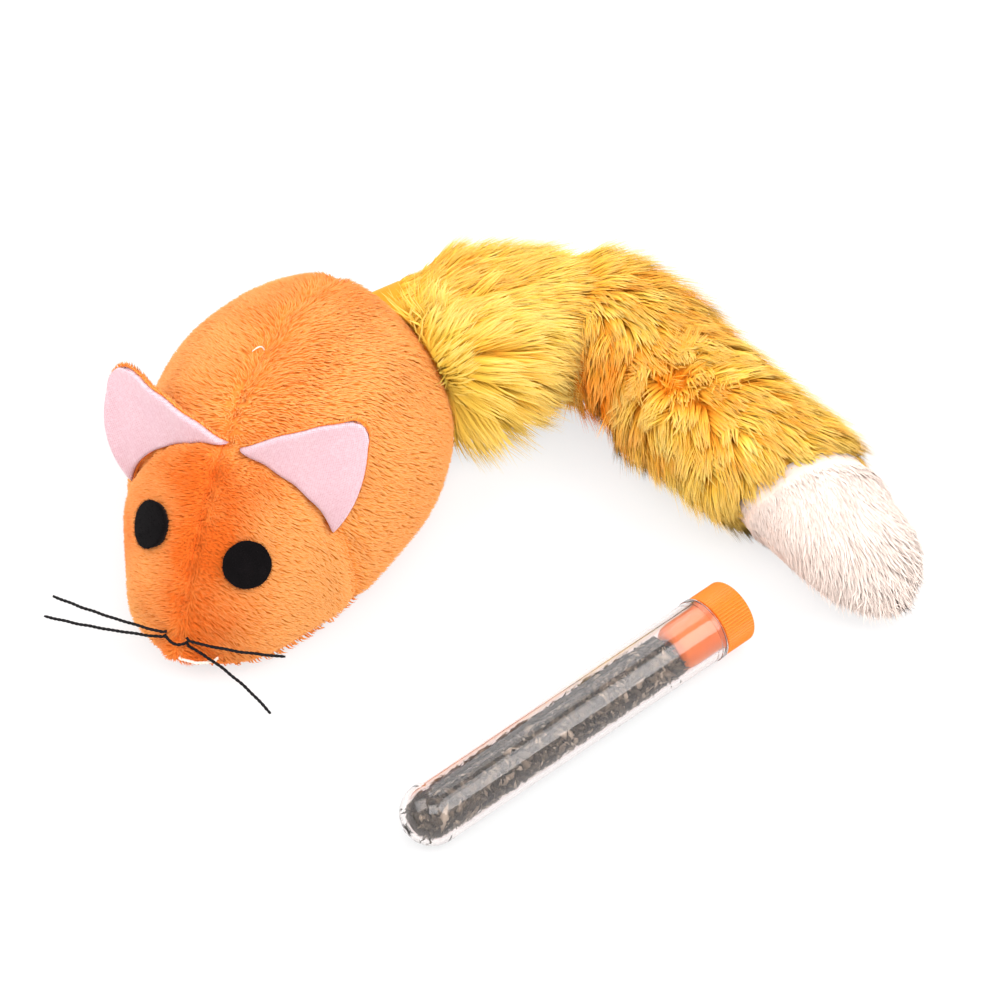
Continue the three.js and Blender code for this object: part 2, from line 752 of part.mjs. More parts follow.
// The thread's end stands up out of the seam of the back
function addThreadEnd() {
  const y = threadEndFromNose - noseToOrigin;
  const foot = new THREE.Vector3(0, y, heightAt(0, y) + seamGap);
  const top = foot.clone().add(new THREE.Vector3(-threadEndLength, -threadEndLength, threadEndLength / 2));
  const control = foot.clone().add(new THREE.Vector3(0, 0, threadEndLength / 2));
  const curve = new THREE.QuadraticBezierCurve3(foot, control, top);
  addMesh(toy, 'seam_thread_end', threadAlong(curve, chinThreadDiameter), 'paleThread');
}

function addTail() {
  addSolid(toy, 'tail_root', ballAt(tailRoot.place, rootKnuckleRadius), 'yellowFur');
  const lengths = [
    { name: 'tail_base', from: 0, to: creaseShare, finish: 'yellowFur' },
    { name: 'tail_middle', from: creaseShare, to: creamSeamShare, finish: 'yellowFur' },
    { name: 'tail_tip', from: creamSeamShare, to: 1, finish: 'creamFur' },
  ];
  const floorCut = boxBetween(
    new THREE.Vector3(-overrun, -overrun, 0),
    new THREE.Vector3(2 * overrun, 2 * overrun, overrun),
  );
  for (const length of lengths) {
    let form = tailForm(length.from, length.to).intersect(floorCut);
    if (length.from === 0) form = clearOfBody(form);
    const sleeve = form.subtract(tailCore(length.from, length.to, tailCoreRadius + seamGap));
    const stuffing = form.intersect(tailCore(length.from, length.to, tailCoreRadius));
    addSolid(toy, `${length.name}_sleeve`, sleeve, length.finish);
    addSolid(toy, `${length.name}_stuffing`, stuffing, 'fibreFill');
  }
}

// The tail's first length is hollowed where it lies against the body, at rest and as it lifts
function clearOfBody(form) {
  const body = bodyForm(-seamGap);
  let clear = form.subtract(body);
  for (const share of [0.25, 0.5, 0.75, 1]) {
    const turn = turnAbout(tailRoot.place, tailRoot.right, -tailLift * share * degree);
    clear = clear.subtract(body.transform(turn.toArray()));
  }
  return clear;
}

// A turned solid: a closed profile of [radius, along] points round the Y axis
function turned(profile, sides) {
  const points = profile.map(([radius, along]) => new THREE.Vector2(radius, along));
  return new THREE.LatheGeometry(points, sides);
}

// The points of a quarter circle from the axis at the tube's end out to its wall
function domeProfile(radius, startAlong, count) {
  const points = [];
  for (let step = 0; step <= count; step += 1) {
    const angle = (Math.PI / 2) * (step / count);
    points.push([radius * Math.sin(angle), startAlong + radius * (1 - Math.cos(angle))]);
  }
  return points;
}

// The tube, its stopper and the leaf in it, drawn standing on its round end and laid down
function addTube() {
  const holder = new THREE.Group();
  const mouthRadius = tubeDiameter / 2;
  const endRadius = tubeEndDiameter / 2;
  const boreRadius = mouthRadius - tubeRimStep - tubeWall;
  const boreEndRadius = endRadius - tubeWall;
  const domeSteps = 7;

  const outer = domeProfile(endRadius, 0, domeSteps);
  const bore = domeProfile(boreEndRadius, tubeWall, domeSteps);
  const tubeProfile = [
    [0, -tubeNubHeight],
    [tubeNubRadius, -tubeNubHeight],
    [tubeNubRadius, outer[1][1]],
    ...outer.slice(2),
    [mouthRadius - tubeRimStep, tubeLength - tubeRimHeight],
    [mouthRadius, tubeLength - tubeRimHeight],
    [mouthRadius, tubeLength],
    [boreRadius, tubeLength],
    ...bore.reverse(),
  ];
  addMesh(holder, 'tube', turned(tubeProfile, tubeSides), 'clearPlastic');

  const plugRadius = boreRadius - stopperFitGap;
  const headRadius = stopperHeadDiameter / 2;
  const headBottom = tubeLength + stopperFitGap;
  const plugBottom = tubeLength - stopperPlugLength;
  const ribs = new THREE.Shape();
  const halfRib = Math.PI / stopperRibCount / 2;
  for (let rib = 0; rib < stopperRibCount; rib += 1) {
    const angle = (2 * Math.PI * rib) / stopperRibCount;
    const places = [
      [headRadius, angle - halfRib],
      [headRadius, angle + halfRib],
      [headRadius - stopperRibDepth, angle + 1.5 * halfRib],
      [headRadius - stopperRibDepth, angle + 2.5 * halfRib],
    ];
    for (const [radius, turn] of places) {
      const x = radius * Math.cos(turn);
      const y = radius * Math.sin(turn);
      if (rib === 0 && turn < 0) ribs.moveTo(x, y);
      else ribs.lineTo(x, y);
    }
  }
  ribs.closePath();
  const head = new THREE.ExtrudeGeometry(ribs, {
    depth: stopperHeadLength,
    bevelEnabled: false,
  });
  head.rotateX(-Math.PI / 2).translate(0, headBottom, 0);
  const hollowRadius = plugRadius * stopperHollowShare;
  const hollowTop = headBottom + stopperHeadLength * stopperHollowShare;
  const plugProfile = [
    [0, headBottom + stopperHeadLength / 2],
    [0, plugBottom],
    [plugRadius - tubeWall, plugBottom],
    [plugRadius, plugBottom + tubeWall],
    [plugRadius, headBottom + stopperHeadLength / 2],
    [0, headBottom + stopperHeadLength / 2],
  ];
  const hollowProfile = [
    [0, hollowTop],
    [0, plugBottom - overrun],
    [hollowRadius, plugBottom - overrun],
    [hollowRadius, hollowTop],
    [0, hollowTop],
  ];
  const stopper = solidFrom(head)
    .add(solidFrom(turned(plugProfile, tubeSides)))
    .subtract(solidFrom(turned(hollowProfile, tubeSides)));
  addSolid(holder, 'stopper', stopper, 'orangePlastic');

  const fillEndRadius = boreEndRadius - seamGap;
  const fillTop = plugBottom - seamGap;
  const fillShare = (fillTop - boreEndRadius) / (tubeLength - boreEndRadius);
  const taperAtTop = (boreRadius - boreEndRadius) * fillShare;
  const fillProfile = [
    ...domeProfile(fillEndRadius, tubeWall + seamGap, domeSteps),
    [fillEndRadius + taperAtTop, fillTop],
    [0, fillTop],
  ];
  const airLow = new THREE.Vector3(-overrun, -overrun, boreEndRadius - catnipDrop);
  const airHigh = new THREE.Vector3(overrun, overrun, overrun);
  const leaf = solidFrom(turned(fillProfile, tubeSides)).subtract(boxBetween(airLow, airHigh));
  addSolid(holder, 'catnip_fill', leaf, 'driedLeaf');

  // It lies on its rim and on the wide end of its dome, its axis a little nose down
  const restSlope = Math.atan2(mouthRadius - endRadius, tubeLength - endRadius);
  holder.position.set(tubeEndX, tubeEndFromNose - noseToOrigin, endRadius);
  holder.rotation.order = 'ZXY';
  holder.rotation.z = (tubeHeading - 90) * degree;
  holder.rotation.x = restSlope;
  toy.add(holder);
}

addBodyPanels();
addStuffing();
addPocket();
addEar('left');
addEar('right');
addEye('left', leftEyeX, leftEyeFromNose);
addEye('right', rightEyeX, rightEyeFromNose);
addSnoutThreads();
addThreadEnd();
addTail();
addTube();

export default toy;
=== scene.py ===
# %% [markdown]
# This lesson dresses a plush mouse cat toy and the small tube of catnip that is sold with it.
# The solids come from a CAD model, which fixes every size and every moving joint. Here each
# solid gets what the eye expects of the real thing: pile on the plush, long fur on the tail,
# twist in the threads, clear walls on the tube. All new shapes are worked out with numpy in
# millimetres, and one function turns them into Blender meshes in metres.

# %% Load the frame
import bpy
import mathutils
import numpy as np
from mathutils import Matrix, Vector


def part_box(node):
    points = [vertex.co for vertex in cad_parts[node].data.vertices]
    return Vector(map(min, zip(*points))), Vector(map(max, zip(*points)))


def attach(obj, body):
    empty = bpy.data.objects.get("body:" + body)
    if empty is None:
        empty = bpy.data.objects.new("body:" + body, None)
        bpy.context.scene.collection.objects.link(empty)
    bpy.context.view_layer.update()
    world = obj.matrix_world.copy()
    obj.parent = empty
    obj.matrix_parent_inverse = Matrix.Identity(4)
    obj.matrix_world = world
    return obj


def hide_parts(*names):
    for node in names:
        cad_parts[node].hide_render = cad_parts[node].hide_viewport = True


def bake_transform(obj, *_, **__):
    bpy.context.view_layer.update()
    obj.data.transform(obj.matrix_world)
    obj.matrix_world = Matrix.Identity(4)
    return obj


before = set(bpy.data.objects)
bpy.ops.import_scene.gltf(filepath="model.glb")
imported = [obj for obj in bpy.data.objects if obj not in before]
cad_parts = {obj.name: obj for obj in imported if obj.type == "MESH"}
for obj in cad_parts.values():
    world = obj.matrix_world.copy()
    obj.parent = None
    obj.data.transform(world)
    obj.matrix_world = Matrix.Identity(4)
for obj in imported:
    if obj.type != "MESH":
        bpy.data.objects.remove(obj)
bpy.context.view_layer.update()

# %% [markdown]
# The camera stands where the photograph's did: 48 degrees above the floor and a little to the
# mouse's left. A long lens from 0.7 m keeps the tube and the tail nearly free of perspective.
# The target is the point of the floor in the middle of the picture, and the lens follows from
# how much of the floor the picture takes in.

# %% Set the camera
VIEW_AZIMUTH = np.radians(21.55)
VIEW_ELEVATION = np.radians(48.0)
VIEW_DISTANCE = 0.700
VIEW_TARGET = np.array([0.03974, 0.02263, 0.0])
VIEW_WIDTH = 0.1980

toward_camera = np.array([
    np.sin(VIEW_AZIMUTH) * np.cos(VIEW_ELEVATION),
    -np.cos(VIEW_AZIMUTH) * np.cos(VIEW_ELEVATION),
    np.sin(VIEW_ELEVATION),
])
camera = bpy.data.objects.new("camera", bpy.data.cameras.new("camera"))
bpy.context.scene.collection.objects.link(camera)
camera.location = VIEW_TARGET + VIEW_DISTANCE * toward_camera
camera.rotation_euler = mathutils.Vector(toward_camera).to_track_quat("Z", "Y").to_euler()
camera.data.sensor_width = 36.0
camera.data.lens = camera.data.sensor_width * VIEW_DISTANCE / VIEW_WIDTH
camera.data.clip_start = 0.01
bpy.context.scene.camera = camera
print("lens, mm:", round(camera.data.lens, 1))

# %% [markdown]
# A material is a small tree of nodes. One helper adds a node: a setting that is the name of a
# socket gets a value or a link, and anything else is a property of the node. Colours are
# written as the sRGB hex values that a paint program shows, and are turned to linear light,
# which is what Blender mixes in.

# %% Helpers for materials
def linear(hex_colour, alpha=1.0):
    """An sRGB hex colour as linear RGBA: each channel c becomes ((c + 0.055) / 1.055) ** 2.4,
    or c / 12.92 near black."""
    channels = np.array([int(hex_colour[i:i + 2], 16) for i in (1, 3, 5)]) / 255
    light = np.where(channels > 0.04045, ((channels + 0.055) / 1.055) ** 2.4, channels / 12.92)
    return (*light.tolist(), alpha)


def add_node(tree, kind, sockets=None, **properties):
    """Adds a node of a kind, sets its properties, then fills its sockets by name or number with
    values, or with links where the value is another node's output."""
    node = tree.nodes.new("ShaderNode" + kind)
    for name, value in properties.items():
        setattr(node, name, value)
    for name, value in (sockets or {}).items():
        if isinstance(value, bpy.types.NodeSocket):
            tree.links.new(value, node.inputs[name])
        else:
            node.inputs[name].default_value = value
    return node


def new_material(name):
    """An empty material and its node tree."""
    material = bpy.data.materials.new(name)
    material.use_nodes = True
    material.node_tree.nodes.clear()
    return material, material.node_tree


def finish_surface(tree, shader):
    """Links a shader to the tree's surface output."""
    add_node(tree, "OutputMaterial", {"Surface": shader})


def two_tone_surface(tree, factor, colours, height, strength, distance, shader):
    """Finishes a material whose colour goes from one tone to another by a factor, with a bump
    that stands a distance high, and with a shader's other settings."""
    tones = add_node(tree, "Mix", {"Factor": factor, "A": linear(colours[0]), "B": linear(colours[1])},
                     data_type="RGBA")
    bump = add_node(tree, "Bump", {"Height": height, "Strength": strength, "Distance": distance})
    surface = add_node(tree, "BsdfPrincipled", {"Base Color": tones.outputs["Result"],
                                                "Normal": bump.outputs[0], **shader})
    finish_surface(tree, surface.outputs[0])


# %% [markdown]
# The light is plain: a white world and four wide soft lamps, set so that a colour renders
# about as it is written. The floor is white to the camera, yet part of what it shows is the
# light that really falls on it, so the toy's soft shadow stays.

# %% Light the set
def soft_lamp(name, azimuth, elevation, distance, size, power):
    """A square area lamp, turned to the middle of the picture."""
    lamp = bpy.data.objects.new(name, bpy.data.lights.new(name, "AREA"))
    bpy.context.scene.collection.objects.link(lamp)
    turn, rise = np.radians(azimuth), np.radians(elevation)
    direction = np.array([np.sin(turn) * np.cos(rise), -np.cos(turn) * np.cos(rise), np.sin(rise)])
    lamp.location = VIEW_TARGET + distance * direction
    lamp.rotation_euler = mathutils.Vector(direction).to_track_quat("Z", "Y").to_euler()
    lamp.data.size = size
    lamp.data.energy = power


soft_lamp("lamp_left", -60, 50, 1.2, 0.8, 6.2)
soft_lamp("lamp_right", 95, 45, 1.2, 0.8, 8.4)
soft_lamp("lamp_front", 30, 62, 1.3, 0.7, 6.0)
soft_lamp("lamp_behind", 190, 50, 1.3, 0.8, 5.0)


def seen_directly(tree):
    """1 for rays that come from the camera straight, by a reflection or through something
    clear, and 0 for rays that only carry light."""
    sees = add_node(tree, "LightPath")
    seen = add_node(tree, "Math", {0: sees.outputs["Is Camera Ray"], 1: sees.outputs["Is Glossy Ray"]},
                    operation="MAXIMUM")
    return add_node(tree, "Math", {0: seen.outputs[0], 1: sees.outputs["Is Transmission Ray"]}, operation="MAXIMUM")


world = bpy.data.worlds.new("white_room")
world.use_nodes = True
world.node_tree.nodes.clear()
seen = seen_directly(world.node_tree)
level = add_node(world.node_tree, "MapRange", {"Value": seen.outputs[0], "To Min": 0.62, "To Max": 1.0})
sky = add_node(world.node_tree, "Background", {"Color": (1, 1, 1, 1), "Strength": level.outputs[0]})
add_node(world.node_tree, "OutputWorld", {"Surface": sky.outputs[0]})
bpy.context.scene.world = world
bpy.context.scene.view_settings.view_transform = "Standard"

# %% Lay the floor
floor_mesh = bpy.data.meshes.new("floor")
floor_mesh.from_pydata([(-3, -3, 0), (3, -3, 0), (3, 3, 0), (-3, 3, 0)], [], [(0, 1, 2, 3)])
floor = bpy.data.objects.new("floor", floor_mesh)
bpy.context.scene.collection.objects.link(floor)

floor_material, tree = new_material("white_paper_sweep")
seen = seen_directly(tree)
share = add_node(tree, "Math", {0: seen.outputs[0], 1: 0.72}, operation="MULTIPLY")
paper = add_node(tree, "BsdfDiffuse", {"Color": (0.93, 0.93, 0.93, 1)})
glow = add_node(tree, "Emission", {"Color": (1, 1, 1, 1), "Strength": 1.0})
mixed = add_node(tree, "MixShader", {0: share.outputs[0], 1: paper.outputs[0], 2: glow.outputs[0]})
finish_surface(tree, mixed.outputs[0])
floor_mesh.materials.append(floor_material)

# %% [markdown]
# Every shape below is a form: points in millimetres, triangles that count into them, and two
# numbers at each point that the materials read. The first is how far the point lies along its
# fibre, from 0 at the root to 1 at the tip. The second is a number from 0 to 1 that all points
# of one fibre share. Fibres also bring a flat layout for baking, with a small cell for each.

# %% Forms and how they join
MM = 0.001


def form(points, faces, along=0.0, tone=0.5):
    """Points (n, 3) and triangles (m, 3) with their two numbers, each given once or per point."""
    count = len(points)
    return {
        "points": np.asarray(points, float).reshape(-1, 3),
        "faces": np.asarray(faces, int).reshape(-1, 3),
        "along": np.broadcast_to(np.asarray(along, float), (count,)),
        "tone": np.broadcast_to(np.asarray(tone, float), (count,)),
        "normals": np.zeros((count, 3)),
    }


def join(*forms):
    """Several forms as one: the points are stacked, and each form's triangles count on from
    the points before them."""
    starts = np.cumsum([0] + [len(f["points"]) for f in forms[:-1]])
    joined = {key: np.concatenate([f[key] for f in forms]) for key in ("points", "along", "tone", "normals")}
    joined["faces"] = np.concatenate([f["faces"] + start for f, start in zip(forms, starts)])
    return joined


def grid_triangles(rows, columns, wrap=False):
    """Two triangles for each cell of a grid of points numbered row by row. With wrap, the last
    column is joined to the first."""
    cells = columns if wrap else columns - 1
    row, column = np.meshgrid(np.arange(rows - 1), np.arange(cells), indexing="ij")
    a = row * columns + column
    b = row * columns + (column + 1) % columns
    c, d = a + columns, b + columns
    return np.stack([np.stack([a, b, d], -1), np.stack([a, d, c], -1)], 2).reshape(-1, 3)


def shell(outer, inner, **numbers):
    """A sheet with thickness: an outer grid, an inner grid turned over, and strips that close
    the rim all the way round."""
    rows, columns = outer.shape[:2]
    faces = grid_triangles(rows, columns)
    count = rows * columns
    ids = np.arange(count).reshape(rows, columns)
    rim = np.concatenate([ids[0, :-1], ids[:-1, -1], ids[-1, :0:-1], ids[:0:-1, 0]])
    after = np.roll(rim, -1)
    strip = np.concatenate([np.stack([after, rim, rim + count], -1),
                            np.stack([after, rim + count, after + count], -1)])
    points = np.concatenate([outer.reshape(-1, 3), inner.reshape(-1, 3)])
    return form(points, np.concatenate([faces, faces[:, ::-1] + count, strip]), **numbers)


def tube_form(rings, **numbers):
    """Closed rings of points, (rows, columns, 3), joined along their length, and each end
    closed by a fan about the middle of its ring."""
    rows, columns = rings.shape[:2]
    faces = grid_triangles(rows, columns, wrap=True)
    first, last = rows * columns, rows * columns + 1
    here = np.arange(columns)
    after = (here + 1) % columns
    end = (rows - 1) * columns
    caps = np.concatenate([np.stack([np.full(columns, first), after, here], -1),
                           np.stack([np.full(columns, last), end + here, end + after], -1)])
    points = np.concatenate([rings.reshape(-1, 3), rings[0].mean(0)[None], rings[-1].mean(0)[None]])
    return form(points, np.concatenate([faces, caps]), **numbers)


def outward(shape):
    """Turns a closed form's triangles over where its signed volume comes out below zero."""
    corners = shape["points"][shape["faces"]]
    volume = np.einsum("ij,ij->", corners[:, 0], np.cross(corners[:, 1], corners[:, 2]))
    if volume < 0:
        shape = {**shape, "faces": shape["faces"][:, ::-1]}
    return shape


# %% Turn a form into a Blender object
def add_piece(name, shape, material, body, replaces=(), maps=None):
    """Writes a form into a mesh in metres, with its two numbers as attributes and any maps as
    UV layers, gives it its material, lets it ride on a body of the CAD model, and hides the CAD
    parts that it replaces."""
    mesh = bpy.data.meshes.new(name)
    points, faces = shape["points"] * MM, shape["faces"]
    mesh.vertices.add(len(points))
    mesh.vertices.foreach_set("co", points.astype(np.float32).ravel())
    mesh.loops.add(faces.size)
    mesh.loops.foreach_set("vertex_index", faces.astype(np.int32).ravel())
    mesh.polygons.add(len(faces))
    mesh.polygons.foreach_set("loop_start", np.arange(0, faces.size, 3, dtype=np.int32))
    mesh.polygons.foreach_set("use_smooth", np.ones(len(faces), bool))
    mesh.update(calc_edges=True)
    for attribute in ("along", "tone"):
        layer = mesh.attributes.new(attribute, "FLOAT", "POINT")
        layer.data.foreach_set("value", shape[attribute].astype(np.float32))
    if shape["normals"].any():
        mesh.normals_split_custom_set_from_vertices(shape["normals"])
    for title, corners in (maps or {}).items():
        layer = mesh.uv_layers.new(name=title)
        layer.data.foreach_set("uv", corners.astype(np.float32).ravel())
    mesh.materials.append(material)
    piece = bpy.data.objects.new(name, mesh)
    bpy.context.scene.collection.objects.link(piece)
    if body:
        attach(piece, body)
    if replaces:
        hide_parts(*replaces)
    print(f"{name}: {len(faces)} triangles")
    return piece

# %% [markdown]
# The body is the CAD model's own form, written again as formulas, because the plush has to lie
# where the solids are. Tables of shares give a half width, a top and a bottom at stations from
# the nose to the rear, a smooth curve runs through each table, and every section is a rounded
# superellipse: nearly an arch above, and nearly a box below.

# %% The body as formulas
BODY_LENGTH, BODY_HEIGHT = 83.0, 47.0
LEFT_HALF, RIGHT_HALF = 31.3, 26.8
NOSE_Y = -42.0
NECK_Y = NOSE_Y + 25.5
BELLY_SINK, BELLY_SEAM = 0.8, 4.5
UPPER_POWER, LOWER_POWER, WIDEST_SHARE = 1.86, 3.9, 0.31
STATIONS = np.array([0, 0.06, 0.16, 0.3, 0.45, 0.62, 0.8, 0.93, 1])
WIDTHS = np.array([0.14, 0.45, 0.63, 0.83, 0.94, 1, 0.93, 0.7, 0.34])
TOPS = np.array([0.235, 0.455, 0.675, 0.88, 1, 1, 0.9, 0.785, 0.64])
BOTTOMS = np.array([0.095, 0.07, 0.01, 0, 0, 0, 0, 0, 0.31])


def share_at(t, stations, shares):
    """A cubic through a table that never overshoots: each slope is the harmonic mean of the
    chords beside it, zero at a peak, and the chord itself at an end."""
    t = np.clip(t, stations[0], stations[-1])
    chords = np.diff(shares) / np.diff(stations)
    before, after = chords[:-1], chords[1:]
    total = np.where(before + after == 0, 1, before + after)
    inner = np.where(before * after > 0, 2 * before * after / total, 0)
    slopes = np.concatenate([chords[:1], inner, chords[-1:]])
    k = np.clip(np.searchsorted(stations, t, side="right") - 1, 0, len(stations) - 2)
    width, rise = stations[k + 1] - stations[k], shares[k + 1] - shares[k]
    u = (t - stations[k]) / width
    bend = (slopes[k] * (1 - u) - slopes[k + 1] * u) * width + rise * (2 * u - 1)
    return shares[k] + rise * u + u * (1 - u) * bend


def section_at(y):
    """Half width to the left and right, top, bottom and widest level of the section at y."""
    t = (np.asarray(y) - NOSE_Y) / BODY_LENGTH
    width = share_at(t, STATIONS, WIDTHS)
    top = BODY_HEIGHT * share_at(t, STATIONS, TOPS)
    bottom = BODY_HEIGHT * share_at(t, STATIONS, BOTTOMS) - BELLY_SINK
    ground = np.maximum(bottom, 0)
    return LEFT_HALF * width, RIGHT_HALF * width, top, bottom, ground + (top - ground) * WIDEST_SHARE


def height_at(x, y):
    """The level of the body's upper surface over a point of the floor."""
    left, right, top, _, widest = section_at(y)
    across = np.minimum(np.abs(x) / np.where(x > 0, left, right), 1) ** UPPER_POWER
    return widest + (top - widest) * (1 - across) ** (1 / UPPER_POWER)


def body_field(points):
    """How far points lie from the body's axis, where 1 is its surface, and the millimetres that
    one unit is worth there."""
    x, y, z = points[..., 0], points[..., 1], points[..., 2]
    left, right, top, bottom, widest = section_at(y)
    half = np.where(x > 0, left, right)
    above = z > widest
    reach = np.where(above, top - widest, widest - bottom)
    power = np.where(above, UPPER_POWER, LOWER_POWER)
    ratio = ((np.abs(x) / half) ** power + (np.abs(z - widest) / reach) ** power) ** (1 / power)
    beyond = np.maximum(np.maximum(y - (NOSE_Y + BODY_LENGTH), NOSE_Y - y), 0)
    radius = np.hypot(x, z - widest) / np.maximum(ratio, 1e-6)
    return ratio + beyond / np.maximum(radius, 1), radius


def body_distance(points):
    """Roughly how far points stand off the body's surface, in millimetres, below zero inside."""
    ratio, radius = body_field(points)
    return (ratio - 1) * radius


def unit(vectors):
    """Vectors scaled to a length of 1."""
    return vectors / np.maximum(np.linalg.norm(vectors, axis=-1, keepdims=True), 1e-12)


def bell(distance, width):
    """A bell curve: 1 in the middle, and exp(-1) where the distance is the width."""
    return np.exp(-(distance / width) ** 2)


def slope_of(field, points, step=0.4):
    """The unit direction in which a field grows fastest, from differences along each axis."""
    return unit(np.stack([field(points + axis) - field(points - axis) for axis in np.eye(3) * step], -1))


print("section at the middle:", [round(float(v), 2) for v in section_at(0.0)])

# %% [markdown]
# Plush is a knitted backing with a dense cut pile. A particle system would be lost on export,
# so each visible tuft is real geometry: a thin three-sided spike that leaves the backing
# upright and then lies over, the way the nap is brushed. Neighbouring tufts lean together,
# which gives the fine streaks that real plush shows. Each tuft is shaded mostly with the normal
# of the cloth that it grows from, because real fibres pass light on to each other, and a spike
# lit by its own facets would look dark and hard.

# %% Scatter roots over a grid
def grid_normals(grid):
    """Unit normals of a grid of points, from its differences along rows and columns."""
    return unit(np.cross(np.gradient(grid, axis=0), np.gradient(grid, axis=1)))


def sample_grid(values, row, column):
    """Values of a grid at fractional rows and columns, weighted from the four corners."""
    r = np.clip(row.astype(int), 0, values.shape[0] - 2)
    c = np.clip(column.astype(int), 0, values.shape[1] - 2)
    fr, fc = (row - r)[:, None], (column - c)[:, None]
    near = values[r, c] * (1 - fc) + values[r, c + 1] * fc
    far = values[r + 1, c] * (1 - fc) + values[r + 1, c + 1] * fc
    return near * (1 - fr) + far * fr


def scatter(grid, count, rng):
    """Fractional rows and columns of count places spread evenly over a grid's area. The running
    total of cell areas is cut into equal steps, and each place moves at random in its cell."""
    across = grid[1:, 1:] - grid[:-1, :-1]
    other = grid[1:, :-1] - grid[:-1, 1:]
    area = np.linalg.norm(np.cross(across, other), axis=-1) / 2
    total = np.cumsum(area.ravel())
    places = (np.arange(count) + rng.random(count)) / count * total[-1]
    cell = np.minimum(np.searchsorted(total, places), area.size - 1)
    row, column = np.divmod(cell, area.shape[1])
    return row + rng.random(count), column + rng.random(count)


def locks_of(u, v, size, jitter=0.7):
    """The number of the lock that each place (u, v) belongs to. The plane is cut into squares,
    each with its centre moved about by a hash of its number, and the nearest centre wins."""
    best = np.full(u.shape, np.inf)
    chosen = np.zeros(u.shape, int)
    base_u, base_v = np.floor(u / size), np.floor(v / size)
    for du in (-1, 0, 1):
        for dv in (-1, 0, 1):
            cu, cv = base_u + du, base_v + dv
            hash_u = np.modf(np.abs(np.sin(cu * 12.9898 + cv * 78.233) * 43758.5453))[0]
            hash_v = np.modf(np.abs(np.sin(cu * 39.3468 + cv * 11.135) * 24634.6345))[0]
            centre_u = (cu + 0.5 + jitter * (hash_u - 0.5)) * size
            centre_v = (cv + 0.5 + jitter * (hash_v - 0.5)) * size
            distance = (u - centre_u) ** 2 + (v - centre_v) ** 2
            nearer = distance < best
            best = np.where(nearer, distance, best)
            chosen = np.where(nearer, (cu * 4096 + cv).astype(int), chosen)
    return np.unique(chosen, return_inverse=True)[1]


# %% Grow fibres from their roots
def grow(roots, normals, flow, length, width, rise, fall, segments, tone, locks=None, pull=0.0,
         sag=0.0, keep_clear=None, flat=0.45, facing=None):
    """Closed three-sided spikes. A spike's direction turns from rise to fall degrees off the
    normal towards the flow as it grows. Its tip is pulled towards the mean tip of its lock by a
    share that grows with the distance along it, and it sags. Its width shrinks as 1 - s**1.6.
    It is shaded with the cloth's normals, or with facing where that is given."""
    count = len(roots)
    length, width, rise, fall, pull = [np.broadcast_to(np.asarray(value, float), (count,))
                                       for value in (length, width, rise, fall, pull)]
    rise, fall = np.radians(rise), np.radians(fall)
    flow = unit(flow - normals * np.sum(flow * normals, -1, keepdims=True))
    spine = [roots]
    for step in range(segments):
        lean = rise + (fall - rise) * (step + 0.5) / segments
        direction = normals * np.cos(lean)[:, None] + flow * np.sin(lean)[:, None]
        direction = unit(direction + np.array([0, 0, -sag]) * ((step + 0.5) / segments) ** 1.5)
        spine.append(spine[-1] + direction * (length / segments)[:, None])
    spine = np.stack(spine, 1)
    share = np.linspace(0, 1, segments + 1)[None, :, None]
    if locks is not None:
        size = np.maximum(np.bincount(locks), 1)[:, None]
        middle = np.stack([np.bincount(locks, spine[:, -1, k]) for k in range(3)], -1) / size
        middle = middle[locks]
        spine = spine + pull[:, None, None] * share ** 1.5 * (middle - spine[:, -1])[:, None, :]
    if keep_clear is not None:
        spine = keep_clear(spine)
    ahead = unit(np.gradient(spine, axis=1))
    side = unit(np.cross(ahead, normals[:, None, :]))
    ridge = np.cross(side, ahead)
    half = (width[:, None] / 2 * (1 - share[0, :, 0] ** 1.6))[..., None]
    ring = np.stack([spine - side * half, spine + ridge * half * 2 * flat, spine + side * half], 2)
    points = np.concatenate([ring[:, :-1].reshape(count, -1, 3), spine[:, -1:]], 1)
    local, corners = spike_faces(segments)
    per = points.shape[1]
    faces = local[None] + (np.arange(count) * per)[:, None, None]
    along = np.append(np.repeat(np.linspace(0, 1, segments + 1)[:-1], 3), 1.0)
    grown = form(points.reshape(-1, 3), faces.reshape(-1, 3), np.tile(along, count), np.repeat(tone, per))
    grown["cells"] = np.broadcast_to(corners, (count, *corners.shape)).reshape(-1, 3, 2)
    grown["fibres"] = np.repeat(np.arange(count), len(local))
    around = np.stack([-side, ridge, side], 2)[:, :-1].reshape(count, -1, 3)
    around = np.concatenate([around, np.zeros((count, 1, 3))], 1)
    facing = (normals if facing is None else facing)[:, None] + 0.3 * around
    grown["normals"] = unit(facing).reshape(-1, 3)
    return grown


def blended(first, second):
    """Two growths of fibres as one, numbered on."""
    both = join(first, second)
    both["cells"] = np.concatenate([first["cells"], second["cells"]])
    both["fibres"] = np.concatenate([first["fibres"], second["fibres"] + first["fibres"][-1] + 1])
    return both


def spike_faces(segments):
    """The triangles of one spike, and where each corner lies in the spike's own flat cell:
    around it from left to right, along it from bottom to top, its closed base below."""
    faces, corners = [[0, 2, 1]], [[(0.1, 0.0), (0.5, 0.08), (0.9, 0.0)]]
    for k in range(segments):
        low, high = 0.1 + 0.9 * k / segments, 0.1 + 0.9 * (k + 1) / segments
        for j in range(3):
            a, b = 3 * k + j, 3 * k + (j + 1) % 3
            left, right = j / 3, (j + 1) / 3
            if k == segments - 1:
                faces.append([a, b, 3 * segments])
                corners.append([(left, low), (right, low), ((left + right) / 2, high)])
            else:
                faces += [[a, b, b + 3], [a, b + 3, a + 3]]
                corners += [[(left, low), (right, low), (right, high)],
                            [(left, low), (right, high), (left, high)]]
    return np.array(faces), np.array(corners)


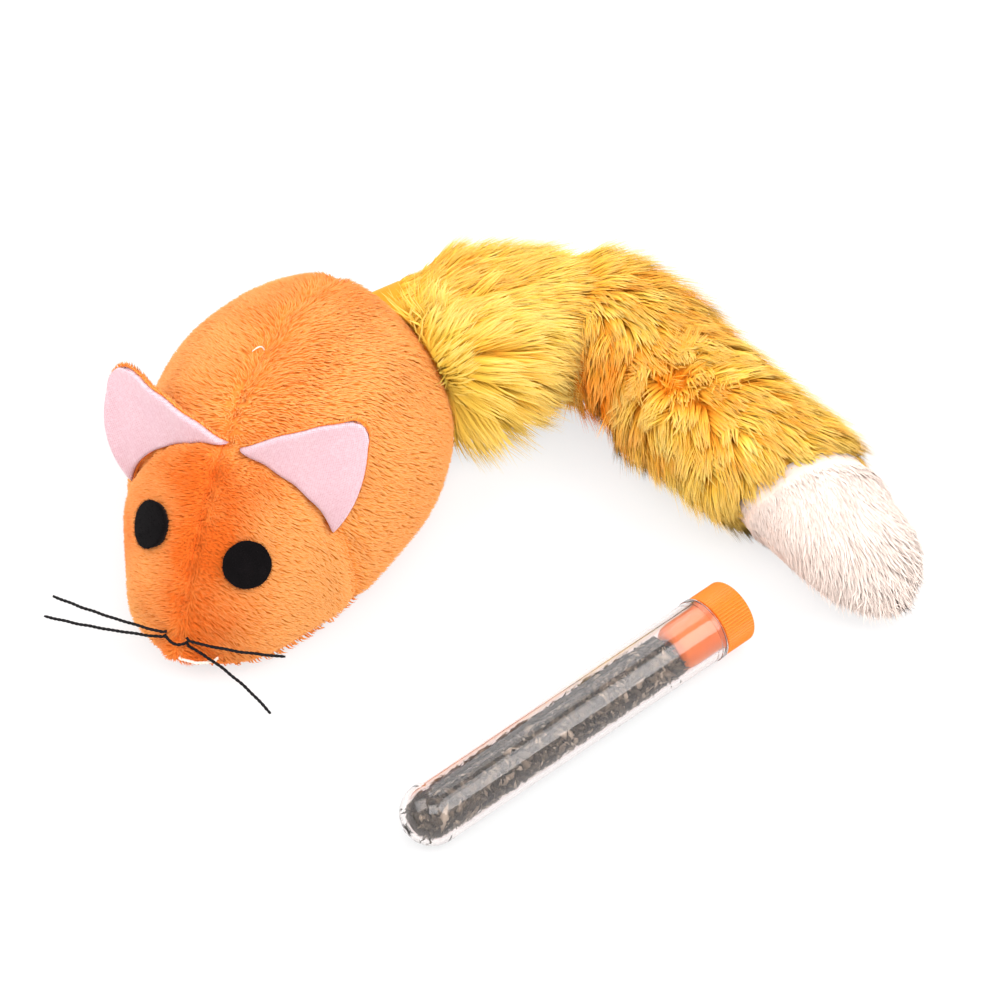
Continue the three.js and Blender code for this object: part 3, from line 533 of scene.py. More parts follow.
def bake_map(skin, fibres):
    """A flat layout for a skin and its fibres: one cell for each triangle of the skin in the
    lowest fifth of the square, and one for each fibre above it."""
    def cells(count, low, high):
        columns = int(np.ceil(np.sqrt(count / (high - low))))
        rows = int(np.ceil(count / columns))
        row, column = np.divmod(np.arange(count), columns)
        size = np.array([1 / columns, (high - low) / rows])
        return np.stack([column / columns, low + row * size[1]], -1), size
    starts, size = cells(len(skin["faces"]), 0.0, 0.2)
    triangle = np.array([(0.1, 0.1), (0.9, 0.1), (0.1, 0.9)])
    flat_skin = starts[:, None] + triangle * size
    starts, size = cells(fibres["fibres"][-1] + 1, 0.21, 1.0)
    flat_fibres = starts[fibres["fibres"]][:, None] + (0.08 + 0.84 * fibres["cells"]) * size
    return np.concatenate([flat_skin, flat_fibres]).reshape(-1, 2)

# %% [markdown]
# The orange plush is polyester, cut short and brushed. Its nap catches light at grazing angles,
# so the outline of the toy looks paler than its middle, and light that goes down between the
# tufts comes back a deeper orange. The colour therefore runs along each tuft from a deep root
# to a pale tip, which paints that deeper light in. The number that a tuft carries makes some a
# little darker than others at random, and it also carries painted shade: deeper on the head,
# along the centre seam and in the tail's crease, and paler towards the left flank.

# %% Material of the plush
def pile_material(name, root, middle, tip, sheen, dark, tone_share=0.5, bump_scale=900.0, middle_at=0.45):
    """Cut pile or fur. The base colour runs root, middle, tip along a fibre, then is mixed with
    a dark colour by the fibre's own number, which holds random tone and painted shade. Large
    soft noise shades the cloth in patches."""
    material, tree = new_material(name)
    along = add_node(tree, "Attribute", attribute_name="along")
    ramp = add_node(tree, "ValToRGB", {"Fac": along.outputs["Fac"]})
    ramp.color_ramp.elements[0].color = linear(root)
    ramp.color_ramp.elements[1].color = linear(tip)
    ramp.color_ramp.elements.new(middle_at).color = linear(middle)
    tone = add_node(tree, "Attribute", attribute_name="tone")
    place = add_node(tree, "TexCoord")
    patches = add_node(tree, "TexNoise", {"Vector": place.outputs["Object"], "Scale": 60.0, "Detail": 2.0})
    patches = add_node(tree, "MapRange", {"Value": patches.outputs["Fac"], "From Min": 0.35, "From Max": 0.65,
                                          "To Min": 0.4, "To Max": 1.6})
    share = add_node(tree, "Math", {0: tone.outputs["Fac"], 1: patches.outputs[0]}, operation="MULTIPLY")
    share = add_node(tree, "Math", {0: share.outputs[0], 1: tone_share}, operation="MULTIPLY", use_clamp=True)
    mixed = add_node(tree, "Mix", {"Factor": share.outputs[0], "A": ramp.outputs["Color"], "B": linear(dark)},
                     data_type="RGBA")
    fine = add_node(tree, "TexNoise", {"Vector": place.outputs["Object"], "Scale": bump_scale, "Detail": 3.0})
    bump = add_node(tree, "Bump", {"Height": fine.outputs["Fac"], "Strength": 0.25, "Distance": 0.0002})
    cloth = add_node(tree, "BsdfPrincipled", {
        "Base Color": mixed.outputs["Result"], "Roughness": 0.8, "Specular IOR Level": 0.12,
        "Sheen Weight": sheen, "Sheen Roughness": 0.45, "Sheen Tint": linear(tip), "Normal": bump.outputs[0],
    })
    finish_surface(tree, cloth.outputs[0])
    return material


ORANGE_PLUSH = pile_material("polyester_short_plush_orange", "#FF8A2E", "#FFA04C", "#FFBA78", 0.3, "#F57022", 0.8)

# %% [markdown]
# Four panels make the upper side: two for the head and two for the back, sewn along the centre
# seam and the neck seam. Each is a shell about a millimetre inside the CAD outline, so that its
# pile ends at that outline. Near a seam the backing is drawn in, which makes the soft valleys
# that every sewn toy has.

# %% Sections of the body, spread evenly
PILE_DEPTH = 1.0
BACKING = 1.1
SEAM_DIP = 1.0


def body_rows(fractions, side, inset, columns):
    """Rows of points from the centre seam down one side to the belly seam. Each row is a dense
    superellipse cut at the seam's level and spread evenly by its length. Past an end of the
    body the section shrinks about its middle and bows out, which rounds the end off."""
    rows = []
    level = BELLY_SEAM + 0.15
    for t, size in fractions:
        y = NOSE_Y + inset + t * (BODY_LENGTH - 2 * inset)
        left, right, top, bottom, widest = [float(v) for v in section_at(NOSE_Y + t * BODY_LENGTH)]
        half = (left if side > 0 else right) - inset
        turn = np.linspace(0, np.pi / 2, 160)
        up = np.sin(turn)[::-1] ** (2 / UPPER_POWER)
        across = np.cos(turn)[::-1] ** (2 / UPPER_POWER)
        drop = np.pi / 4 * (1 - np.cos(np.linspace(0, np.pi, 160)))
        x = half * np.concatenate([across, np.cos(drop)[1:] ** (2 / LOWER_POWER)])
        z = widest + np.concatenate([up * (top - inset - widest),
                                     -np.sin(drop)[1:] ** (2 / LOWER_POWER) * (widest - bottom - inset)])
        length = np.concatenate([[0], np.cumsum(np.hypot(np.diff(x), np.diff(z)))])
        end = np.interp(-level, -z, length) if z[-1] < BELLY_SEAM - 0.3 else length[-1]
        spread = np.linspace(0, end, columns)
        x, z = np.interp(spread, length, x), np.interp(spread, length, z)
        middle = (top + max(bottom, 0)) / 2
        bow = (1 - size ** 2) * 1.6 * (-1 if t < 0.5 else 1)
        rows.append(np.stack([side * x * size, np.full(columns, y + bow), middle + (z - middle) * size], -1))
    return np.stack(rows)


# Short folds run out from the ear's corner over the cheek: both ends, depth and half width.
FOLDS = np.array([
    (24.0, -15.6, 24.2, 27.1, -13.7, 12.0, 0.75, 0.7),
    (25.2, -13.5, 23.8, 27.7, -10.3, 18.6, 0.6, 0.6),
    (23.3, -17.2, 24.1, 25.2, -17.4, 18.0, 0.5, 0.6),
    (24.7, -2.8, 31.3, 28.0, -5.4, 22.8, 0.5, 0.9),
])


def seam_dips(grid):
    """Draws a grid in near the centre seam and the neck seam. Each dip is a bell curve of the
    distance to the seam, and small puckers, 3.2 mm apart, follow the stitches. A fold is a bell
    curve of the distance to its line."""
    x, y, z = grid[..., 0], grid[..., 1], grid[..., 2]
    normal = slope_of(body_distance, grid)
    stitch = 0.8 + 0.2 * np.sin(2 * np.pi * y / 3.2)
    centre = 0.9 * bell(x, 1.1) * stitch
    neck_stitch = 0.85 + 0.15 * np.sin(2 * np.pi * x / 3.4)
    neck = 1.15 * bell(y - NECK_Y, 1.8) * neck_stitch * (0.3 + 0.7 * np.clip((z - 12) / 14, 0, 1))
    hem = 0.6 * bell(z - BELLY_SEAM, 1.4)
    dip = SEAM_DIP * np.maximum(np.maximum(centre, neck), hem)
    for fold in FOLDS:
        start, end = fold[:3], fold[3:6]
        way = end - start
        share = np.clip((grid - start) @ way / (way @ way), 0, 1)
        distance = np.linalg.norm(grid - start - share[..., None] * way, axis=-1)
        dip = dip + fold[6] * (bell(distance, fold[7]) - 0.4 * bell(distance / fold[7] - 2.2, 1))
    return grid - normal * dip[..., None]


def panel_fractions(start, stop, rows):
    """Pairs (share of the length, size of the section), with a rounded cap at the nose and at
    the rear."""
    t = np.linspace(start, stop, rows)
    pairs = [(value, 1.0) for value in t]
    shrink = np.sin(np.linspace(0.06, 1, 9)[:-1] * np.pi / 2)
    if start == 0:
        pairs = [(0.0, size) for size in shrink] + pairs
    if stop == 1:
        pairs = pairs + [(1.0, size) for size in shrink[::-1]]
    return pairs


# %% Sew a plush panel
rng = np.random.default_rng(548)
seam_half = 0.03
neck_share = (NECK_Y - NOSE_Y) / BODY_LENGTH


def nap_of_body(points):
    """The way the nap lies: away from the centre seam and down the sides, and towards the rear
    on the back. On the face it fans back from the nose."""
    x, y = points[:, 0], points[:, 1]
    rearward = np.where(y < NECK_Y, 0.15, 0.30) + 0.5 * bell(y - NOSE_Y, 12.0)
    return np.stack([np.sign(x) * np.clip(0.35 + np.abs(x) / 4, 0, 1), rearward, np.full_like(x, -0.5)], -1)


def sew_panel(name, start, stop, side, rows, columns, count, length, width, replaces):
    """One plush panel: backing and pile, ready to be stuffed."""
    gap = seam_half / BODY_LENGTH
    low, high = (start, stop - gap) if start == 0 else (start + gap, stop)
    sheets = []
    for inset in (PILE_DEPTH, PILE_DEPTH + BACKING):
        sheet = body_rows(panel_fractions(low, high, rows), side, inset, columns)
        sheet[..., 0] += side * seam_half
        sheets.append(seam_dips(sheet))
    outer, inner = sheets
    skin = outward(shell(outer, inner, along=0.35))
    row, column = scatter(outer, count, rng)
    normals = side * -grid_normals(outer)
    middle = outer[rows // 2, columns // 2]
    if np.dot(normals[rows // 2, columns // 2], middle - np.array([0, middle[1], 15.0])) < 0:
        normals = -normals
    roots = sample_grid(outer, row, column)
    normal = unit(sample_grid(normals, row, column))
    flow = nap_of_body(roots)
    swirl = 0.25 * np.stack([np.sin(roots[:, 1] * 0.55 + roots[:, 0] * 0.2), np.sin(roots[:, 0] * 0.5),
                             np.zeros(count)], -1)
    flow = flow + swirl + 0.2 * rng.normal(size=(count, 3))
    arc = side * 24 * np.arctan2(roots[:, 2] - 14, np.abs(roots[:, 0]))
    locks = locks_of(roots[:, 1], arc, 1.3)
    x, y = roots[:, 0], roots[:, 1]
    # The tone is partly random and partly painted shade. It is deeper on the head, most just left of the centre seam
    # and less towards the nose, and deeper along the centre seam. It is paler towards the left flank, a painted lift
    # of grazing light.
    face = np.clip((NECK_Y - y) / 3, 0, 1)
    face_shade = 0.55 * bell(x - 5, 10) - 0.2 * np.clip(x / 16, 0, 1) + 0.2 * np.clip(-x / 12, 0, 1)
    face_shade = face_shade * np.clip((y - NOSE_Y) / 10, 0.6, 1)
    tone = (0.08 + 0.35 * rng.random(count) + face * face_shade + 0.28 * bell(x, 8)
            - 0.25 * np.clip(x / 22, 0, 1))
    shorter = 1 - 0.45 * bell(y - NECK_Y, 1.8) - 0.3 * bell(x, 1.0)
    fibres = grow(roots - normal * 0.15, normal, flow, length * shorter * (0.85 + 0.3 * rng.random(count)), width,
                  rise=22, fall=72 + 10 * rng.random(count), segments=2, tone=np.clip(tone, 0, 2), locks=locks,
                  pull=0.15, flat=0.25)
    fibres["points"][:, 2] = np.maximum(fibres["points"][:, 2], 0.1)
    add_piece(name, join(skin, fibres), ORANGE_PLUSH, "body", replaces,
              {"OFBake": bake_map(skin, fibres)})


share_of = 1.0
for side, label in ((1, "left"), (-1, "right")):
    sew_panel(f"head_plush_{label}", 0.0, neck_share, side, rows=60, columns=70, count=int(11000 * share_of),
              length=1.9, width=0.32, replaces=[f"head_panel_{label}"])
    sew_panel(f"body_plush_{label}", neck_share, 1.0, side, rows=90, columns=80, count=int(18000 * share_of),
              length=2.1, width=0.37, replaces=[f"body_panel_{label}"])

# %% [markdown]
# The tail is a sleeve of long-pile fake fur, stuffed, pinched where it bends and finished with
# a cream tip. Its centre line is the CAD model's curve: a centripetal Catmull-Rom spline
# through listed points, walked by its length. Its width and height come from tables.

# %% The tail as formulas
TAIL_RADIUS, TAIL_REACH = 14.4, 113.3
CREASE_SHARE, CREAM_SHARE = 0.3, 0.79
# Steps from knot to knot, in reaches of the tail.
TAIL_SPANS = np.array([
    (0.079, 0.024, -0.0141), (0.072, 0.044, -0.0106), (0.071, 0.051, -0.0071),
    (0.073, 0.044, -0.0044), (0.088, -0.019, 0), (0.096, -0.057, 0),
    (0.088, -0.053, 0), (0.088, -0.044, -0.0018), (0.086, -0.039, -0.0035),
    (0.057, -0.024, -0.0071), (0.095, -0.060, -0.0150), (0.104, -0.071, -0.0194),
])
TAIL_KNOTS = np.array([8.0, 43.4, 18.5]) + TAIL_REACH * np.concatenate([[(0, 0, 0)], np.cumsum(TAIL_SPANS, 0)])
TAIL_STATIONS = np.array([0, 0.08, 0.16, 0.3, 0.42, 0.6, 0.79, 0.9, 0.97, 1])
TAIL_WIDTHS = np.array([1, 1.22, 1.14, 0.98, 1.06, 1.04, 0.97, 0.84, 0.58, 0.2])
TAIL_HEIGHTS = np.array([0.86, 0.98, 0.98, 0.94, 0.99, 0.99, 0.92, 0.76, 0.5, 0.16])


def tail_spline(knots, steps=60):
    """Centripetal Catmull-Rom: between two knots, a cubic whose end slopes come from the square
    roots of the distances to the knots on either side. Extra end knots mirror the next ones."""
    padded = np.concatenate([[2 * knots[0] - knots[1]], knots, [2 * knots[-1] - knots[-2]]])
    pieces = []
    for p0, p1, p2, p3 in zip(padded, padded[1:], padded[2:], padded[3:]):
        d0, d1, d2 = [np.sqrt(np.linalg.norm(b - a)) for a, b in ((p0, p1), (p1, p2), (p2, p3))]
        m1 = ((p1 - p0) / d0 - (p2 - p0) / (d0 + d1) + (p2 - p1) / d1) * d1
        m2 = ((p2 - p1) / d1 - (p3 - p1) / (d1 + d2) + (p3 - p2) / d2) * d1
        u = np.linspace(0, 1, steps, endpoint=False)[:, None]
        pieces.append(p1 + m1 * u + (3 * (p2 - p1) - 2 * m1 - m2) * u ** 2 + (2 * (p1 - p2) + m1 + m2) * u ** 3)
    return np.concatenate([*pieces, knots[-1:]])


TAIL_LINE = tail_spline(TAIL_KNOTS)
TAIL_WALK = np.concatenate([[0], np.cumsum(np.linalg.norm(np.diff(TAIL_LINE, axis=0), axis=1))])
TAIL_LENGTH = TAIL_WALK[-1]
print("tail length, mm:", round(float(TAIL_LENGTH), 2))


def tail_frame(share):
    """Place, tangent, right and up of the tail's line at shares of its length."""
    def place(s):
        walk = np.clip(s, 0, 1) * TAIL_LENGTH
        return np.stack([np.interp(walk, TAIL_WALK, TAIL_LINE[:, k]) for k in range(3)], -1)
    share = np.asarray(share, float)
    low, high = np.clip(share - 0.012, 0, 1), np.clip(share + 0.012, 0, 1)
    tangent = unit(place(high) - place(low))
    right = unit(np.cross(tangent, np.array([0, 0, 1.0])))
    return place(share), tangent, right, np.cross(right, tangent)


def crease_at(angle):
    """Share of the crease round the tail: it starts at the upper side and slants towards the
    tip on the side that faces the viewer, as a half twist does."""
    return 0.27 + 0.2 * (0.5 + 0.5 * np.cos(angle + np.radians(35))) ** 2


def cream_at(angle):
    """Share of the cream seam round the tail, nearer to the body on the near side."""
    return 0.777 - 0.036 * np.cos(angle + np.radians(20))


def tail_skin_point(share, angle, inset):
    """A point of the fur's backing: the CAD tail's ellipse drawn in by an inset, pinched at the
    crease and a little at the cream seam, and lower on top where it leaves the body."""
    place, _, right, up = tail_frame(share)
    pinch = 4.2 * bell((share - crease_at(angle)) * TAIL_LENGTH, 4.0)
    seam = 0.9 * bell((share - cream_at(angle)) * TAIL_LENGTH, 2.0)
    root = 4.0 * bell(share, 0.05) * np.clip(np.sin(angle), 0, 1)
    drawn = inset + pinch * (0.4 + 0.6 * np.clip(np.cos(angle), 0, 1)) + seam + root
    half_width = np.maximum(TAIL_RADIUS * share_at(share, TAIL_STATIONS, TAIL_WIDTHS) - drawn, 0.6)
    half_height = np.maximum(TAIL_RADIUS * share_at(share, TAIL_STATIONS, TAIL_HEIGHTS) - drawn, 0.5)
    return (place + right * (half_width * np.cos(angle))[..., None]
            + up * (half_height * np.sin(angle))[..., None])


# %% [markdown]
# Long pile doesn't lie one way. It fans out where the tail leaves the body, streams over the
# crease, parts about a whorl on the top of the second bend, and hangs down the near side. So the
# flow at each root is a mix of directions on the unrolled sleeve: along the tail, round it, away
# from the fan's middle and away from the whorl.

# %% Flow of the long fur
# Each parting's share of the tail, angle round it, radius in millimetres and strength.
WHORL = (0.56, np.radians(64), 11.0, 0.75)
FAN = (0.065, 0.0, 14.0, 1.0)


def parting(share, angle, spot):
    """How strongly a parting rules at each root, and the direction away from its middle."""
    middle, turn, radius, strength = spot
    du = (share - middle) * TAIL_LENGTH
    dv = ((angle - turn + np.pi) % (2 * np.pi) - np.pi) * TAIL_RADIUS
    distance = np.hypot(du, dv) + 1e-6
    return strength * bell(distance, radius), du / distance, dv / distance


def fur_flow(share, angle):
    """Directions for roots at shares and angles of the tail, and the parts that the fan and the
    whorl have in each."""
    _, tangent, right, up = tail_frame(share)
    around = -right * np.sin(angle)[:, None] + up * np.cos(angle)[:, None]
    near = np.clip(np.cos(angle), 0, 1)
    far = np.clip(-np.cos(angle), 0, 1)
    spin = -0.85 * near * np.clip(np.cos(angle / 2), 0, 1) + 0.35 * far
    spin = spin * np.where(angle % (2 * np.pi) > np.pi, 0.4, 1.0)
    spin = spin - 0.9 * near * bell(share - 0.32, 0.09)
    flow_along, flow_round = np.ones_like(share), spin
    whorl, du, dv = parting(share, angle, WHORL)
    whorl = whorl * (share > crease_at(angle) - 0.02)
    flow_along = flow_along * (1 - whorl) + whorl * (du + 0.25)
    flow_round = flow_round * (1 - whorl) + whorl * dv
    collar = np.clip(1 - 1.6 * np.sin(angle), 0, 1) * np.clip(0.5 + np.cos(angle), 0, 1)
    collar = bell(share, 0.07) * collar
    flow_along = flow_along * (1 - collar) + collar * np.clip((share - 0.02) / 0.03, -1, 1)
    fan, du, dv = parting(share, angle, FAN)
    flow_along = flow_along * (1 - fan) + fan * (du + 0.15)
    flow_round = flow_round * (1 - fan) + fan * dv
    fan = np.maximum(fan, 0.8 * collar)
    return unit(tangent * flow_along[:, None] + around * flow_round[:, None]), fan, whorl


FUR_MARGIN = 0.6


def keep_outside(spines, margin=FUR_MARGIN):
    """Pushes fur that would lie inside the body out to just off its surface, and lifts fur off
    the floor."""
    ratio, radius = body_field(spines)
    inside = np.clip(margin - (ratio - 1) * radius, 0, 30)
    spines = spines + slope_of(body_distance, spines) * inside[..., None]
    spines[..., 2] = np.maximum(spines[..., 2], 0.12)
    return spines


# %% Materials of the fur
# The deep orange reaches further up each strand, painted for the light that comes back from deep in the long pile.
YELLOW_FUR = pile_material("acrylic_long_fur_yellow", "#FF8404", "#FFD24E", "#FFE486", 0.45, "#FF8000", 0.75, 1400.0,
                           0.6)
CREAM_FUR = pile_material("acrylic_fur_cream", "#FCE0D1", "#FCE7DB", "#FDEDE3", 0.3, "#FBDBCA", 0.3, 1400.0)


# %% Grow the tail's fur
# Light soaks down through long pile, so its strands are shaded as if the cloth faced more upward.
LIFT = np.array([0, 0, 0.8])


def crease_shade(share, angle):
    """How much painted shade deepens the colour in the crease's valley and, faintly, about it, both
    on the near side only."""
    near = np.clip(np.cos(angle + np.radians(20)), 0, 1)
    valley = bell((share - crease_at(angle)) * TAIL_LENGTH, 5.0)
    return np.sqrt(near) * (1.6 * valley + 1.7 * bell(share - 0.34, 0.09))


def furry_length(name, start, stop, inset, material, counts, length, width, rng, rise, fall, sag,
                 lock_size, pull, broad=3.2, rounded=False):
    """One length of the tail: a stuffed, closed backing, broad flat strands that stand for a few
    dozen fibres each, and thin single hairs over them, all gathered in locks. Start and stop
    are shares of the tail for each angle, and the two counts are the hairs and the strands."""
    angles = np.linspace(0, 2 * np.pi, 73)[:-1]
    steps = np.sin(np.linspace(0, np.pi / 2, 40)) if rounded else np.linspace(0, 1, 40)
    first, last = start(angles), stop(angles)
    s = first + (last - first) * steps[:, None]
    a = np.broadcast_to(angles, s.shape)
    rings = tail_skin_point(s, a, inset)
    if s[0, 0] < 0.3:
        rings = keep_outside(rings, -0.8)
    skin = rings
    if s[0, 0] == 0:
        # The sleeve is gathered to a narrow end and sewn in under the body's plush.
        centre, gather = rings[0].mean(0), np.linspace(1, 0.1, 8)[:, None, None]
        neck = centre + (rings[:1] - centre) * (1 - 0.6 * gather) - tail_frame(0.0)[1] * 8.0 * gather
        skin = np.concatenate([neck, rings])
    # The backing is coloured a deep orange, painted shade for the gaps between the locks.
    skin = outward(tube_form(skin, along=0.3, tone=0.6))
    closed = np.concatenate([rings, rings[:, :1]], 1)
    shares = np.concatenate([s, s[:, :1]], 1)[..., None]

    def roots_of(count):
        row, column = scatter(closed, count, rng)
        share = sample_grid(shares, row, column)[:, 0]
        roots = sample_grid(closed, row, column)
        place, tangent, _, _ = tail_frame(share)
        out = roots - place
        normal = unit(sample_grid(grid_normals(closed), row, column))
        normal = normal * np.sign(np.sum(normal * out, -1, keepdims=True))
        if rounded:
            cap = np.clip((share - 0.955) / 0.04, 0, 1)[:, None]
            normal = unit(normal * (1 - cap) + (unit(out) + tangent) * cap)
        keep = body_distance(roots) > -2.5
        angle = column / len(angles) * 2 * np.pi
        return [v[keep] for v in (roots, normal, share, angle)]

    def growth(count, wide, reach, fine_tone, lift):
        roots, normal, share, angle = roots_of(count)
        count = len(roots)
        flow, fan, whorl = fur_flow(share, angle)
        locks = locks_of(share * TAIL_LENGTH, angle * TAIL_RADIUS * 0.95, lock_size)
        lock_rng = np.random.default_rng(locks.max())
        lock_tone = lock_rng.random(locks.max() + 1)[locks]
        lock_turn = lock_rng.normal(size=(locks.max() + 1, 3))[locks]
        flow = flow + 0.12 * rng.normal(size=(count, 3)) + (0.16 + 0.6 * whorl)[:, None] * lock_turn
        tone = (fine_tone * rng.random(count) + 0.4 * lock_tone + 0.4 * whorl) * (1 - 0.8 * fan)
        # Painted shade deepens the colour in and about the crease on the near side.
        tone = tone + crease_shade(share, angle)
        longer = 1 + 0.3 * fan - 0.45 * whorl + 1.1 * fan * np.clip(-np.sin(angle), 0, 1)
        reach = reach * length(share, angle) * (0.8 + 0.4 * rng.random(count)) * longer
        tip = np.clip((share - 0.94 + 0.07 * np.clip(np.sin(angle - 0.5), 0, 1)) / 0.05, 0, 1)
        lit = normal + LIFT * np.clip((1.6 if rounded else 1) + 1.5 * normal[:, 2:], 0, 1.3)
        hair = grow(roots - normal * 0.3, normal, flow, reach, wide, rise - 28 * fan + lift - 22 * tip,
                    fall - 36 * fan - 26 * whorl - 10 * tip + 5 * rng.normal(size=count), segments=3, tone=tone,
                    locks=locks, pull=pull, sag=sag, keep_clear=keep_outside, flat=0.15, facing=lit)
        hair["along"] = np.maximum(hair["along"], np.repeat(0.65 * fan, 10))
        return hair

    hairs, strands = [int(count * share_of) for count in counts]
    fibres = blended(growth(hairs, width, reach=1.0, fine_tone=0.3, lift=0),
                     growth(strands, width * broad, reach=0.85, fine_tone=0.15, lift=6))
    return add_piece(name, join(skin, fibres), material, None, (), {"OFBake": bake_map(skin, fibres)})


def long_fur(share, angle):
    """Millimetres of pile: longest by the body, shorter on the underside, and short enough
    before the cream seam that no lock hangs over it."""
    under = np.clip(-np.sin(angle), 0, 1)
    full = (13.5 - 2.0 * np.clip(share / 0.6, 0, 1)) * (1 - 0.25 * under)
    full = full * (1 - 0.75 * bell(share, 0.06) * np.clip(1.6 * np.sin(angle - np.radians(35)), 0, 1))
    full = full * (1 - 0.5 * bell(share - 0.27, 0.05) * np.clip(0.2 - np.sin(angle), 0, 1))
    return np.minimum(full, 3.2 + 0.95 * np.clip(cream_at(angle) - share, 0, 1) * TAIL_LENGTH)


def short_fur(share, angle):
    """Millimetres of the cream pile, which ends in a longer tuft at the tip, at every angle."""
    return 3.2 + 3.2 * np.clip((share - 0.8) / 0.12, 0, 1)


def level_cut(share):
    """An end of a length that is cut square to the tail."""
    return lambda angle: np.full_like(angle, share)


fur_rng = np.random.default_rng(84)
fur = {}
for label, start, stop, counts, rise, fall in (
        ("collar", level_cut(0.0), level_cut(0.06), (1900, 2200), 40, 80),
        ("root", level_cut(0.055), level_cut(0.155), (2900, 3300), 40, 80),
        ("crease", level_cut(0.15), level_cut(0.50), (7600, 8800), 42, 81),
        ("end", level_cut(0.495), cream_at, (7000, 8000), 42, 81)):
    fur[label] = furry_length(f"tail_fur_{label}", start, stop, 3.1, YELLOW_FUR, counts, long_fur,
                              width=0.30, rng=fur_rng, rise=rise, fall=fall, sag=0.09, lock_size=3.6, pull=0.45)
fur["cream"] = furry_length("tail_fur_cream", lambda angle: cream_at(angle) - 0.006, level_cut(1.0), 1.1, CREAM_FUR,
                            (6500, 6500), short_fur, width=0.22, rng=fur_rng, rise=72, fall=88,
                            sag=0.02, lock_size=3.0, pull=0.05, broad=4.2, rounded=True)

# %% Fix the fur in place and hide the CAD tail
def tail_place(share):
    """A point of the tail's line, in metres."""
    return tuple((tail_frame(share)[0] * MM).tolist())


for label, first, second, start, end, nodes in (
        ("collar", "body", "tail_hub", 0.0, 0.06, ["tail_root"]),
        ("root", "tail_hub", "tail_base", 0.05, 0.13, ["tail_base_sleeve", "tail_base_stuffing"]),
        ("crease", "tail_base", "tail_middle", CREASE_SHARE - 0.08, CREASE_SHARE + 0.08,
         ["tail_middle_sleeve", "tail_middle_stuffing"]),
        ("end", "tail_middle", "tail_tip", CREAM_SHARE - 0.07, CREAM_SHARE + 0.07, []),
        ("cream", "tail_middle", "tail_tip", CREAM_SHARE - 0.07, CREAM_SHARE + 0.07,
         ["tail_tip_sleeve", "tail_tip_stuffing"])):
    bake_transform(fur[label], first, second, start=tail_place(start), end=tail_place(end))
    if nodes:
        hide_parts(*nodes)

# %% [markdown]
# Each ear is two cloths sewn face to face and turned: pale pink brushed knit in front, orange
# plush behind. Turned work is never flat, so the ear is cupped a little, its edge is rolled,
# and the knit shows rows of tiny stitches. The base is caught in the neck seam. The outline
# is the CAD model's: a triangle with a round tip and an outer side that swells.

# %% Where the ears stand
EAR_HEIGHT = 23.8
EAR_SHAPES = {
    "left": {"inner": 0.14, "outer": 0.728, "height": 1.0, "apex": 0.523, "tip": 0.15, "bulge": 0.06, "swell": 0.9,
             "lean": 19},
    "right": {"inner": -0.01, "outer": 0.77, "height": 1.02, "apex": 0.65, "tip": 0.19, "bulge": 0.07, "swell": 0.2,
              "lean": 18},
}


def ear_frame(label):
    """The ear's base corner, the directions along its base, up it and out of its front, and
    the length of its base."""
    shape = EAR_SHAPES[label]
    side, half = (1, LEFT_HALF) if label == "left" else (-1, RIGHT_HALF)
    corners = [np.array([x, NECK_Y, float(height_at(x, NECK_Y))])
               for x in (side * half * shape["inner"], side * half * shape["outer"])]
    base = np.linalg.norm(corners[1] - corners[0])
    along = (corners[1] - corners[0]) / base
    back = np.array([0.0, 1.0, 0.0])
    upright = unit(-side * np.cross(back, along))
    lean = np.radians(shape["lean"])
    rise = upright * np.cos(lean) + back * np.sin(lean)
    return corners[0], along, rise, side * np.cross(along, rise), base


def ear_edges(label, base, count=40):
    """The outline as two edges at the same heights: the nearly straight inner side carried
    round the tip's circle to its highest point, and the swelling outer side carried round to
    the same point. Both sides are quadratic curves."""
    shape = EAR_SHAPES[label]
    height = EAR_HEIGHT * shape["height"]
    radius, bulge, apex = height * shape["tip"], height * shape["bulge"], base * shape["apex"]
    inner_side, outer_side = np.arctan2(height, apex), np.arctan2(height, base - apex)
    half_tip = (np.pi - inner_side - outer_side) / 2
    into = inner_side + half_tip + np.pi
    centre = np.array([apex, height]) + radius / np.sin(half_tip) * np.array([np.cos(into), np.sin(into)])
    turn = np.pi / 2 - outer_side
    start = centre + radius * np.array([np.cos(turn), np.sin(turn)])
    swell = np.array([(base + start[0]) / 2, start[1] / 2]) + 2 * bulge * np.array([np.cos(turn), np.sin(turn)])
    u = np.linspace(0, 1, 60)[:, None]
    outer = (1 - u) ** 2 * np.array([base, 0]) + 2 * u * (1 - u) * swell + u ** 2 * start
    arc = np.linspace(turn, np.pi / 2, 30)
    outer = np.concatenate([outer, centre + radius * np.stack([np.cos(arc), np.sin(arc)], -1)])
    arc = np.linspace(np.pi / 2 + inner_side, np.pi / 2, 30)
    round_tip = centre + radius * np.stack([np.cos(arc), np.sin(arc)], -1)
    swell = round_tip[0] / 2 + 2 * shape["swell"] * np.array([-np.sin(inner_side), np.cos(inner_side)])
    inner = np.concatenate([2 * u * (1 - u) * swell + u ** 2 * round_tip[0], round_tip])
    level = np.sin(np.linspace(0, np.pi / 2, count) ** 0.97) * (centre[1] + radius) * 0.9985
    return np.interp(level, inner[:, 1], inner[:, 0]), np.interp(level, outer[:, 1], outer[:, 0]), level


